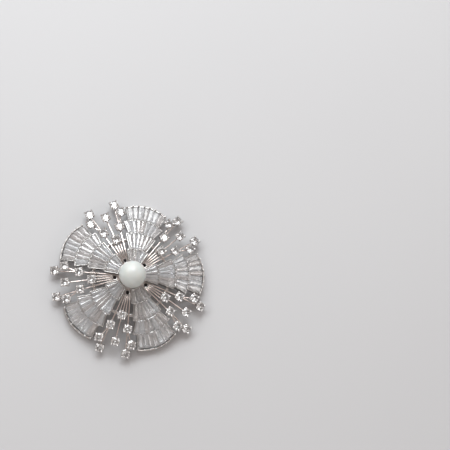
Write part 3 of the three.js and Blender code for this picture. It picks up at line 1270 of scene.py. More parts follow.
@dataclass(frozen=True)
class FanPlan:
    """The plan that all five fans share.

    Attributes:
        start: Where the first row begins.
        gap: The space between two rows, which a rail fills.
        rows: Length, half widths, stones and arc centre of each row, from the hub out.
        rim_centre: The centre of the rim's arc.
    """

    start: float = 5.3
    gap: float = 0.5
    rows: Tuple[Tuple[float, float, float, int, float], ...] = (
        (4.65, 1.75, 3.4, 4, 0.0),
        (5.9, 2.9, 5.2, 6, 1.0),
        (4.8, 4.5, 6.9, 7, 4.0),
        (4.95, 5.66, 7.2, 7, 8.0),
    )
    rim_centre: float = 13.0

    def laid_out(self) -> List[Row]:
        """Lays the rows one after another.

        Returns:
            The rows with their places.
        """
        made, start = [], self.start
        centres = [row[4] for row in self.rows[1:]] + [self.rim_centre]
        for (length, inner, outer, stones, centre), after in zip(self.rows, centres):
            made.append(Row(start, start + length, inner, outer, stones, centre, after))
            start += length + self.gap
        return made


# ---- Sub-assemblies ----------------------------------------------------------------


@dataclass
class Assembly:
    """What every sub-assembly shares: its means, and the finished pieces that it keeps.

    Attributes:
        finishes: The materials.
        growth: The trees.
        kept: Each piece with its body, its slot and the CAD nodes that it stands for.
    """

    finishes: Finishes
    growth: Growth
    kept: List[Tuple[bpy.types.Object, Body, Slot, Tuple[str, ...]]] = field(
        default_factory=list, init=False
    )

    def keep(self, piece: bpy.types.Object, body: Body, slot: Slot, *nodes: str) -> None:
        """Keeps a finished piece until it is attached to its body.

        Args:
            piece: The piece, at the origin.
            body: The body that it moves with.
            slot: The record's slot that its finish is from.
            *nodes: The CAD nodes that it stands for.
        """
        self.kept.append((piece, body, slot, nodes))

    def dress(self) -> None:
        """Attaches every kept piece to its body, hides the CAD nodes that it stands for and logs
        it.
        """
        for piece, body, slot, nodes in self.kept:
            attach(piece, body.value)
            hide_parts(*nodes)
            LOG.info("%s: %d faces on %s", piece.name, len(piece.data.polygons), body.value)


@dataclass
class BaguetteFans(Assembly):
    """The tapered stones of the five fans.

    Attributes:
        dome: The dome that they lie on.
        plan: The plan of a fan.
        seam: The space between two stones.
        overrun: How far a stone's ends reach over the rails.
        sway: How far a stone leans sideways by chance, in degrees.
        seed: The seed of what varies by chance.
    """

    dome: Dome
    plan: FanPlan
    seam: float = 0.1
    overrun: float = 0.11
    sway: float = 3.4
    seed: int = 11

    # Each level of the cut: how far in from the sides, how far in from the ends, how high.
    CUT = (
        (0.46, 0.42, -1.5),
        (0.2, 0.14, -0.95),
        (0.0, 0.0, -0.34),
        (0.0, 0.0, -0.26),
        (0.13, 0.035, -0.11),
        (0.32, 0.08, 0.0),
    )

    def unit_stone(self) -> bpy.types.Object:
        """Cuts the stone that all are copies of, a unit wide and a unit long.

        Returns:
            The stone, whose heights are real and whose Y runs outwards from 0 to 1.
        """
        shell = Shell()
        rings = []
        for across, along, height in self.CUT:
            x, near, far = 0.5 - across, along, 1 - along
            corners = ((-x, near), (x, near), (x, far), (-x, far))
            rings.append([Vector((cx / MM, cy / MM, height)) for cx, cy in corners])
        shell.loft(rings)
        return shell.object("unit_stone", None)

    def placings(self, index: int, chance: random.Random) -> Placings:
        """Places the stones of one fan.

        Args:
            index: Which fan.
            chance: What varies by chance.

        Returns:
            The stones' placings.
        """
        made = Placings()
        turn = self.dome.fan_turn(index)
        for row in self.plan.laid_out():
            for stone in range(row.stones):
                sides = [2 * (stone + side) / row.stones - 1 for side in (0, 1)]
                near = [Vector((*row.place(side, 0.0), 0.0)) for side in sides]
                far = [Vector((*row.place(side, 1.0), 0.0)) for side in sides]
                ends = [sum(pair, Vector()) / 2 for pair in (near, far)]
                run = (ends[1] - ends[0]).normalized() * self.overrun
                ends = [ends[0] - run, ends[1] + run]
                inner, outer = (self.dome.point(end.x, end.y) for end in ends)
                normal = self.dome.normal((inner + outer) / 2)
                lean = Matrix.Rotation(math.radians(chance.gauss(0, self.sway)), 3, "Y")
                nod = Matrix.Rotation(math.radians(chance.gauss(0, self.sway / 2)), 3, "X")
                frame = frame_of(outer - inner, normal) @ lean @ nod
                widths = [(pair[1] - pair[0]).length - self.seam for pair in (near, far)]
                length = (outer - inner).length
                made.add(
                    turn @ inner, turn.to_3x3() @ frame, widths[0] * MM, widths[1] * MM,
                    length * MM, chance.random(),
                )
        return made

    def build(self) -> None:
        """Sets the stones of every fan."""
        chance = random.Random(self.seed)
        shape = self.unit_stone()
        for index in range(self.dome.petals):
            stones = self.placings(index, chance).grow(
                f"baguettes_{index + 1}", self.growth, shape, self.finishes.baguette, False
            )
            self.keep(stones, Body.JEWEL, Slot.CRYSTAL, f"fan_baguettes_{index + 1}")
        Workshop.discard(shape)


@dataclass
class FanFrames(Assembly):
    """The metal of the five fans: rails, walls, rim and the small beads that hold stones.

    Attributes:
        dome: The dome.
        plan: The plan of a fan.
        hub: The radius of the hub that the fans start from.
        clearance: The space between metal and stone, or between two parts.
        rail: The width of a rail between two rows.
        rail_lift: How far a rail stands over the tables.
        rail_foot: How far its foot stands over them.
        head_lift: How far the head beside the hub stands over the tables.
        head_foot: How far its foot stands over them.
        side: The thickness of a side wall with its clearance.
        side_lift: How far a side wall stands over the tables.
        side_shift: How far its middle is from the stones' sides.
        ledge: The width of the ledge that the stones sit on.
        ledge_lift: How far the ledge stands over the tables.
        ledge_shift: How far its middle is from the stones' sides.
        depth: How deep the side walls are.
        rim: The thickness of the rim wall.
        rim_drop: How far the rim's top lies under the tables.
        groove: The depth of the groove round the rim's outside.
        bead: The radius of a bead on a rail.
        rim_bead: The radius of a bead on the rim.
        milgrain: The radius of the fine beads round the rim's foot.
        steps: Steps along a rail.
    """

    dome: Dome
    plan: FanPlan
    hub: float = 4.7
    clearance: float = 0.08
    rail: float = 0.34
    rail_lift: float = -0.4
    rail_foot: float = -0.85
    head_lift: float = 0.15
    head_foot: float = -2.2
    side: float = 0.36
    side_lift: float = 0.06
    side_shift: float = 0.24
    ledge: float = 0.5
    ledge_lift: float = -1.75
    ledge_shift: float = 0.1
    depth: float = 2.9
    rim: float = 0.6
    rim_drop: float = 1.0
    groove: float = 0.16
    bead: float = 0.26
    rim_bead: float = 0.43
    milgrain: float = 0.16
    steps: int = 20

    # Each level of a bead, in radii: how wide, how high.
    BEAD = ((0.42, 0.66), (0.78, 0.36), (0.95, -0.1), (0.8, -2.9))

    def arc_path(self, reach: float, centre: float, half: float) -> List[Vector]:
        """Gives a path across the fan along an arc.

        Args:
            reach: Where the arc crosses the middle line.
            centre: The arc's centre on the middle line.
            half: How far the path goes to each side.

        Returns:
            The path's points.
        """
        sides = [half * (2 * step / self.steps - 1) for step in range(self.steps + 1)]
        return [self.dome.point(Row.on_arc(reach, centre, y), y) for y in sides]

    def rails(self, shell: Shell, rows: List[Row]) -> None:
        """Adds the rails between the rows and the head beside the hub.

        Args:
            shell: Where they are added.
            rows: The fan's rows.
        """
        bar = rounded_box(self.rail, self.rail_foot, self.rail_lift, 0.12)
        for before, row in zip(rows, rows[1:]):
            half = max(before.outer_half, row.inner_half) + self.side
            path = self.arc_path((before.end + row.start) / 2, row.arc_centre, half)
            shell.sweep(path, lambda share: bar, self.dome.normal)
        first = rows[0]
        head = (self.hub + first.start) / 2
        across = first.start - self.hub - 2 * self.clearance
        wide = rounded_box(across, self.head_foot, self.head_lift, 0.15)
        path = self.arc_path(head, first.arc_centre, first.inner_half)
        shell.sweep(path, lambda share: wide, self.dome.normal)

    def walls(self, shell: Shell, rows: List[Row]) -> None:
        """Adds the side walls and the ledges that the stones sit on.

        Args:
            shell: Where they are added.
            rows: The fan's rows.
        """
        wall = rounded_box(self.side - 0.12, -self.depth, self.side_lift, 0.1)
        ledge = rounded_box(self.ledge, -self.depth, self.ledge_lift, 0.15)
        bars = ((wall, self.side_shift), (ledge, self.ledge_shift))
        under_rail = self.clearance + self.rail / 2
        for row in rows:
            run = 2 * self.clearance if row is rows[0] else under_rail
            length = row.end - row.start
            shares = [
                (-run + (length + run + under_rail) * step / 12) / length for step in range(13)
            ]
            for side in (-1, 1):
                for outline, shift in bars:
                    plan = [row.place(side, share, side * shift) for share in shares]
                    path = [self.dome.point(x, y) for x, y in plan]
                    shell.sweep(path, lambda share: outline, self.dome.normal)

    def rim_wall(self, shell: Shell, last: Row) -> None:
        """Adds the rim, which stands on the floor and is moulded outside.

        Args:
            shell: Where it is added.
            last: The last row.
        """
        half = last.outer_half + self.side
        start = last.end + self.clearance
        centre = Vector((self.plan.rim_centre, 0.0, 0.0))
        face, sunk = self.rim, self.rim - self.groove
        rings = []
        for point in self.arc_path(start, self.plan.rim_centre, half):
            out = (Vector((point.x, point.y, 0.0)) - centre).normalized()
            top = point.z - self.rim_drop
            outline = [
                (0.0, 0.0), (face, 0.0), (face, 0.3), (sunk, 0.42),
                (sunk, max(0.44, top - 0.6)), (face, max(0.5, top - 0.45)), (face, top - 0.2),
                (face - 0.14, top - 0.04), (face / 2, top), (0.12, top - 0.05), (0.0, top - 0.2),
            ]
            foot = Vector((point.x, point.y, 0.0))
            rings.append([foot + out * x + Vector((0, 0, z)) for x, z in outline])
        shell.loft(rings)

    def bead_placings(self, index: int, rows: List[Row]) -> Placings:
        """Places a bead at each seam between stones, on the rails and on the rim.

        Args:
            index: Which fan.
            rows: The fan's rows.

        Returns:
            The beads' placings.
        """
        made = Placings()
        turn = self.dome.fan_turn(index)
        for row, after in zip(rows, rows[1:] + [None]):
            shape = after or row
            size = self.bead if after else self.rim_bead
            for seam in range(shape.stones + 1):
                across = 2 * seam / shape.stones - 1
                half = after.inner_half if after else row.outer_half + self.side / 2
                y = across * half
                beyond = self.plan.gap / 2 if after else self.clearance + self.rim * 0.62
                reach = row.end + beyond
                x = Row.on_arc(reach, row.end_centre, y)
                here = self.dome.point(x, y, 0.1)
                frame = frame_of(Vector((x, y, 0)), self.dome.normal(here))
                long = 1.25 if after else 1.1
                made.add(turn @ here, turn.to_3x3() @ frame, size, size, size * long)
        return made

    def bead_shape(self) -> bpy.types.Object:
        """Makes the small dome-headed bead, a unit in radius.

        Returns:
            The bead, with the stem that it stands on.
        """
        shell = Shell()
        shell.loft([
            [Vector((x, y, height)) for x, y in arc((0, 0), radius, 0, 324, 9)]
            for radius, height in self.BEAD
        ])
        return shell.object("bead", 60.0)

    def build(self) -> None:
        """Makes the metal of every fan."""
        rows = self.plan.laid_out()
        bead = self.bead_shape()
        for index in range(self.dome.petals):
            shell = Shell()
            self.rails(shell, rows)
            self.walls(shell, rows)
            self.rim_wall(shell, rows[-1])
            turn = self.dome.fan_turn(index)
            shell.vertices = [turn @ vertex for vertex in shell.vertices]
            metal = shell.object(f"fan_metal_{index + 1}")
            Workshop.dress(metal, self.finishes.rhodium)
            beads = self.bead_placings(index, rows).grow(
                f"fan_beads_{index + 1}", self.growth, bead, self.finishes.rhodium, True
            )
            lines = Workshop.lines(
                f"fan_milgrain_{index + 1}", [self.milgrain_line(index, rows[-1])]
            )
            grain = self.milgrain * MM
            values = {"Spacing": 2.1 * grain, "Radius": grain, "Material": self.finishes.rhodium}
            grains = self.growth.beads.grow(lines, values)
            made = Workshop.join(f"fan_metal_{index + 1}", [metal, beads, grains])
            # Painted shade: the fan metal is darkened by how deep it lies under the dome.
            Workshop.note(made, "recess", self.dome.depth)
            self.keep(made, Body.JEWEL, Slot.RHODIUM, f"fan_frame_{index + 1}")
        Workshop.discard(bead)

    def milgrain_line(self, index: int, last: Row) -> List[Vector]:
        """Gives the line of fine beads that runs along the groove of a rim.

        Args:
            index: Which fan.
            last: The fan's last row.

        Returns:
            The line, halfway up the rim.
        """
        turn = self.dome.fan_turn(index)
        half = last.outer_half + self.side - self.milgrain
        reach = last.end + self.clearance + self.rim - self.groove
        path = self.arc_path(reach, self.plan.rim_centre, half)
        return [turn @ Vector((point.x, point.y, (point.z - 0.4) / 2)) for point in path]


@dataclass
class Sprays(Assembly):
    """The five open sprays: hub, wires, claw settings, round stones and root eyelets.

    Attributes:
        dome: The dome.
        hub: The hub's radius.
        hub_bottom: The hub's underside.
        hub_top: The hub's top.
        bore: The radius of the hub's bore.
        stone: A round stone's radius at the girdle.
        girdle: The girdle's height over the dome.
        crown: The crown's height.
        pavilion: The pavilion's depth.
        collet_wall: The collet's thickness.
        collet_height: The collet's height.
        tilt_share: How far a setting leans with the dome.
        wire_width: A wire's width.
        wire_height: A wire's height.
        wire_drop: How far the wires' tops lie under the dome.
        root_dip: How much deeper they are at the hub.
        root_end: Where the dip ends.
        root_pitch: The space between wires at the hub.
        wire_corner: The radius of a wire's edges.
        eyelet_reach: How far out the root eyelets are.
        sway: How far a stone leans in its claws by chance, in degrees.
        soft_edge: Edges of the cast metal under this many degrees are smooth.
        seed: The seed of what varies by chance.
    """

    dome: Dome
    hub: float = 4.7
    hub_bottom: float = 7.0
    hub_top: float = 8.6
    bore: float = 0.68
    stone: float = 1.64
    girdle: float = 0.35
    crown: float = 0.55
    pavilion: float = 1.15
    collet_wall: float = 0.25
    collet_height: float = 1.3
    tilt_share: float = 0.5
    wire_width: float = 0.4
    wire_height: float = 1.0
    wire_drop: float = 0.95
    root_dip: float = 1.2
    root_end: float = 9.5
    root_pitch: float = 0.34
    wire_corner: float = 0.1
    eyelet_reach: float = 6.15
    sway: float = 2.0
    soft_edge: float = 50.0
    seed: int = 5

    # Each corner of an eyelet and of its well: how wide, how high over the hub's top.
    EYELET = ((0.62, -1.0), (0.84, -1.0), (0.88, 0.36), (0.8, 0.5), (0.7, 0.46), (0.62, 0.3))
    WELL = ((0.04, -0.22), (0.61, -0.22), (0.61, 0.25), (0.57, 0.25), (0.52, -0.08), (0.04, -0.12))
    # The stones of a spray, by rank from the hub out.
    LETTERS = ("a", "b1", "b2", "c1", "c2", "c3", "d1", "d2")

    @staticmethod
    def node(index: int, letter: str) -> str:
        """Names the CAD node of a round stone.

        Args:
            index: Which spray.
            letter: Which stone.

        Returns:
            The node's name.
        """
        return f"round_stone_{index + 1}{letter}"

    def spot(self, index: int, letter: str) -> Vector:
        """Gives where a stone stands in its spray's own plan.

        Args:
            index: Which spray.
            letter: Which stone.

        Returns:
            The place, with the spray turned back to X.
        """
        low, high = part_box(self.node(index, letter))
        flat = (low + high) / 2 / MM
        flat.z = 0.0
        return self.dome.spray_turn(index).inverted() @ flat

    def seat(self, index: int, letter: str) -> Tuple[Vector, Matrix]:
        """Gives the place and the turn of a setting.

        Args:
            index: Which spray.
            letter: Which stone.

        Returns:
            The place on the dome and the rotation.
        """
        spot = self.dome.spray_turn(index) @ self.spot(index, letter)
        slope = math.asin(spot.length / self.dome.radius)
        axis = Vector((-spot.y, spot.x, 0.0)).normalized()
        lean = Matrix.Rotation(self.tilt_share * slope, 4, axis)
        turn = lean @ self.dome.spray_turn(index)
        return self.dome.point(spot.x, spot.y), turn

    def unit_brilliant(self) -> bpy.types.Object:
        """Cuts a round brilliant: table, stars, kites, girdle facets and pavilion.

        Returns:
            The stone, at its real size, over the origin of its setting.
        """
        count, radius = 8, self.stone
        top, edge = self.girdle + self.crown, 0.04

        def circle(steps: int, share: float, height: float, shift: float) -> List[Vector]:
            """Gives a ring of facet corners.

            Args:
                steps: How many corners it has.
                share: Its radius, as a share of the stone's.
                height: Its height.
                shift: How far it is turned, in steps.

            Returns:
                The corners.
            """
            angles = [math.tau * (step + shift) / steps for step in range(steps)]
            return [
                Vector((radius * share * math.cos(a), radius * share * math.sin(a), height))
                for a in angles
            ]

        table = circle(count, 0.56, top, 0.5)
        kites = circle(count, 0.8, self.girdle + 0.56 * self.crown, 0.0)
        upper = circle(2 * count, 1.0, self.girdle + edge, 0.0)
        lower = circle(2 * count, 1.0, self.girdle - edge, 0.0)
        mains = circle(count, 0.3, self.girdle - 0.75 * self.pavilion, 0.0)
        culet = [Vector((0, 0, self.girdle - self.pavilion))]
        rings = (table, kites, upper, lower, mains)
        starts = [sum(len(ring) for ring in rings[:rank]) for rank in range(len(rings) + 1)]
        table_at, kite_at, upper_at, lower_at, main_at, culet_at = starts
        faces: List[Tuple[int, ...]] = [tuple(table_at + i for i in range(count))]
        for i in range(count):
            after, before = (i + 1) % count, (i - 1) % count
            left, right = (2 * i - 1) % (2 * count), (2 * i + 1) % (2 * count)
            kite, main = kite_at + i, main_at + i
            faces += [
                (table_at + before, kite, table_at + i),
                (table_at + i, kite, upper_at + right, kite_at + after),
                (kite, upper_at + 2 * i, upper_at + right),
                (kite, upper_at + left, upper_at + 2 * i),
                (lower_at + 2 * i, main, lower_at + right),
                (lower_at + left, main, lower_at + 2 * i),
                (lower_at + right, main, culet_at, main_at + after),
            ]
        for i in range(2 * count):
            after = (i + 1) % (2 * count)
            faces.append((upper_at + i, lower_at + i, lower_at + after, upper_at + after))
        shell = Shell()
        shell.add([corner for ring in (*rings, culet) for corner in ring], faces)
        return shell.object("unit_brilliant", None)

    def unit_setting(self) -> bpy.types.Object:
        """Makes a collet with four claws that lean in over the stone's crown.

        Returns:
            The setting, at its real size.
        """
        shell = Shell()
        top = self.girdle - 0.2
        bottom = top - self.collet_height
        wide = self.stone * 0.86
        profile = [
            (wide - 0.05, top), (wide + 0.12, top + 0.03), (wide + 0.24, top - 0.12),
            (wide + 0.16, top - 0.55), (wide - 0.2, bottom + 0.12), (wide - 0.3, bottom),
            (wide - 0.5, bottom), (wide - 0.42, bottom + 0.2),
        ]
        shell.lathe(profile, 20)
        for claw in range(4):
            angle = math.radians(45 + 90 * claw)
            out = Vector((math.cos(angle), math.sin(angle), 0.0))
            stone, girdle = self.stone, self.girdle
            stations = (
                (wide - 0.15, bottom + 0.15, 0.2), (wide + 0.2, top - 0.5, 0.28),
                (stone + 0.18, girdle - 0.1, 0.33), (stone + 0.2, girdle + 0.2, 0.37),
                (stone + 0.04, girdle + 0.48, 0.38), (stone - 0.2, girdle + 0.64, 0.33),
                (stone - 0.38, girdle + 0.62, 0.18),
            )
            rings = []
            for index, (reach, height, size) in enumerate(stations):
                before = stations[max(index - 1, 0)]
                after = stations[min(index + 1, len(stations) - 1)]
                run = out * (after[0] - before[0]) + Vector((0, 0, after[1] - before[1]))
                frame = frame_of(run, Vector((-out.y, out.x, 0.0)))
                centre = out * reach + Vector((0, 0, height))
                rings.append(
                    [centre + frame @ Vector((x, 0.0, z)) for x, z in arc((0, 0), size, 0, 315, 7)]
                )
            shell.loft(rings)
        return shell.object("unit_setting", self.soft_edge)

    def wire(self, start: Vector, end: Vector) -> List[Vector]:
        """Gives a wire's path from the plan, dipping to the hub at its root.

        Args:
            start: Its root in plan.
            end: Its end in plan.

        Returns:
            The path along the middle of the strip.
        """
        steps = max(4, int((end - start).length))
        path = []
        for step in range(steps + 1):
            point = start.lerp(end, step / steps)
            inwards = 1 - eased((point.length - self.hub) / (self.root_end - self.hub))
            top = self.dome.height(point.x, point.y) - self.wire_drop - self.root_dip * inwards
            height = top - self.wire_height / 2
            path.append(Vector((point.x, point.y, height)))
        return path

    def wires(self, index: int) -> List[List[Vector]]:
        """Gives the wires of one spray.

        Args:
            index: Which spray.

        Returns:
            Their paths, turned to their place.
        """
        seats = {letter: self.spot(index, letter) for letter in self.LETTERS}

        def root(rank: float) -> Vector:
            """Gives where a wire leaves the hub.

            Args:
                rank: The wire's place, counted from the middle.

            Returns:
                The root in plan.
            """
            return Vector((self.hub - self.wire_width, rank * self.root_pitch, 0.0))

        beside = Vector((0.0, 0.62 * (self.stone + self.collet_wall), 0.0))
        pairs = [
            (root(0), seats["c2"]),
            (root(1), seats["a"] + beside),
            (root(-1), seats["a"] - beside),
            (root(2), seats["d1"]),
            (root(-2), seats["d2"]),
            (seats["b1"], seats["c1"]),
            (seats["b2"], seats["c3"]),
            (seats["c1"], seats["d1"]),
            (seats["c3"], seats["d2"]),
        ]
        turn = self.dome.spray_turn(index)
        return [[turn @ point for point in self.wire(*pair)] for pair in pairs]

    def hub_plate(self) -> bpy.types.Object:
        """Turns the hub, with a moulded edge.

        Returns:
            The hub.
        """
        shell = Shell()
        low, high, edge = self.hub_bottom, self.hub_top, self.hub
        shell.lathe(
            [
                (self.bore, low), (edge - 0.3, low), (edge - 0.05, low + 0.25), (edge, low + 0.5),
                (edge - 0.2, low + 0.7), (edge - 0.2, high - 0.45), (edge, high - 0.3),
                (edge - 0.08, high - 0.08), (edge - 0.4, high), (self.bore, high),
            ],
            64,
        )
        return shell.object("hub_plate")

    def eyelets(self) -> Tuple[bpy.types.Object, bpy.types.Object]:
        """Turns the small cups at the sprays' roots, and the near-black wells in them, painted
        shade for the dark holes there.

        Returns:
            The cups and the wells.
        """
        cups, wells = Shell(), Shell()
        for index in range(self.dome.petals):
            place = self.dome.spray_turn(index) @ Vector((self.eyelet_reach, 0.0, 0.0))
            matrix = Matrix.Translation(place)
            for shell, section, sides in ((cups, self.EYELET, 20), (wells, self.WELL, 16)):
                shell.lathe([(radius, self.hub_top + z) for radius, z in section], sides, matrix)
        return cups.object("root_eyelets"), wells.object("eyelet_wells")

    def build(self) -> None:
        """Makes the sprays."""
        chance = random.Random(self.seed)
        brilliant, setting = self.unit_brilliant(), self.unit_setting()
        cups = Placings()
        for index in range(self.dome.petals):
            gems = Placings()
            for letter in self.LETTERS:
                place, turn = self.seat(index, letter)
                cups.add(place, turn)
                spin = Matrix.Rotation(chance.uniform(0, math.tau / 8), 4, "Z")
                sway = Matrix.Rotation(math.radians(chance.gauss(0, self.sway)), 4, "X")
                gems.add(place, turn @ sway @ spin, tone=chance.random() * 0.6)
            stones = gems.grow(
                f"round_stones_{index + 1}", self.growth, brilliant, self.finishes.brilliant, False
            )
            nodes = [self.node(index, letter) for letter in self.LETTERS]
            self.keep(stones, Body.JEWEL, Slot.CRYSTAL, *nodes)
        settings = cups.grow("claw_settings", self.growth, setting, self.finishes.rhodium, True)
        Workshop.smooth(settings, self.soft_edge)
        paths = [path for index in range(self.dome.petals) for path in self.wires(index)]
        values = {
            "Width": self.wire_width * MM,
            "Height": self.wire_height * MM,
            "Corner": self.wire_corner * MM,
            "Material": self.finishes.wires,
        }
        strips = self.growth.strips.grow(Workshop.lines("spray_wires", paths), values)
        Workshop.smooth(strips, self.soft_edge)
        hub = self.hub_plate()
        rims, wells = self.eyelets()
        for piece in (hub, rims):
            Workshop.dress(piece, self.finishes.rhodium)
        # The wells get the near-black finish: painted shade for the dark holes at the roots.
        Workshop.dress(wells, self.finishes.blackened)
        # Painted shade: settings, wires and hub are darkened by how deep they lie under the dome.
        for piece in (settings, strips, Workshop.join("hub_plate", [hub, rims, wells])):
            Workshop.note(piece, "recess", self.dome.depth)
            self.keep(piece, Body.JEWEL, Slot.RHODIUM, "spray_frame")
        Workshop.discard(brilliant)
        Workshop.discard(setting)


@dataclass
class PearlAndCup(Assembly):
    """The pearl at the crown and the cup that it is glued in.

    Attributes:
        flange: The radius of the cup's foot.
        cup: The radius of the cup's lip.
        wall: The cup's thickness.
        foot: The thickness of the cup's foot.
        glue: The space between pearl and cup.
        peg: The radius of the peg under the cup's foot.
        bore: The hair-fine hole left down the middle of the turned cup.
        dents: How deep the pearl's soft unevenness is.
        bands: Rings of faces from the pearl's foot to its top.
        sides: Faces round the pearl.
        shade: How deep in shade the cup's metal is, from 0 to 1.
    """

    flange: float = 2.1
    cup: float = 3.0
    wall: float = 0.45
    foot: float = 0.35
    glue: float = 0.1
    peg: float = 0.55
    bore: float = 0.02
    dents: float = 0.045
    bands: int = 60
    sides: int = 96
    shade: float = 0.25

    def build(self) -> None:
        """Makes the pearl and the cup."""
        low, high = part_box("pearl")
        centre = (low + high) / 2 / MM
        radius = (high.z - low.z) / 2 / MM
        rings = []
        for band in range(1, self.bands):
            angle = math.pi * band / self.bands
            ring = []
            for side in range(self.sides):
                turn = math.tau * side / self.sides
                across = Vector((math.cos(turn), math.sin(turn), 0.0)) * math.sin(angle)
                ray = across - Vector((0.0, 0.0, math.cos(angle)))
                swell = noise.noise(ray * 1.7) * 0.6 + noise.noise(ray * 4.1) * 0.4
                ring.append(centre + ray * (radius - self.dents * (0.5 + 0.5 * swell)))
            rings.append(ring)
        shell = Shell()
        shell.loft(rings)
        pearl = shell.object("pearl_ball", 80.0)
        Workshop.dress(pearl, self.finishes.nacre)
        self.keep(pearl, Body.JEWEL, Slot.NACRE, "pearl")
        dish = self.make_dish(centre.z, radius)
        Workshop.dress(dish, self.finishes.rhodium)
        Workshop.note(dish, "recess", lambda point: self.shade)
        self.keep(dish, Body.JEWEL, Slot.RHODIUM, "pearl_cup")

    def make_dish(self, middle: float, radius: float) -> bpy.types.Object:
        """Turns the cup: a foot, a dish that fits the pearl and a round lip.

        Args:
            middle: The height of the pearl's centre.
            radius: The pearl's radius.

        Returns:
            The cup.
        """
        inside, outside = radius + self.glue, radius + self.glue + self.wall
        lip = math.asin(self.cup / outside)
        foot = math.asin(self.flange / outside)

        def on_dish(reach: float, angle: float) -> Pair:
            """Gives a corner of the dish's section.

            Args:
                reach: How far it is from the pearl's centre.
                angle: Its angle from straight down.

            Returns:
                The corner's radius and height.
            """
            return reach * math.sin(angle), middle - reach * math.cos(angle)

        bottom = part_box("pearl_cup")[0].z / MM
        base = middle - outside - self.foot + 0.02
        profile = [
            (self.bore, bottom), (self.peg, bottom), (self.peg, base), (self.flange, base),
            (self.flange + 0.12, base + 0.14),
        ]
        profile += [on_dish(outside, foot + (lip - foot) * step / 5) for step in range(6)]
        profile.append(on_dish((inside + outside) / 2, lip * 1.05))
        profile += [on_dish(inside, lip * (1 - step / 6)) for step in range(6)]
        profile.append((self.bore, middle - inside))
        shell = Shell()
        shell.lathe(profile, 56)
        return shell.object("pearl_dish")


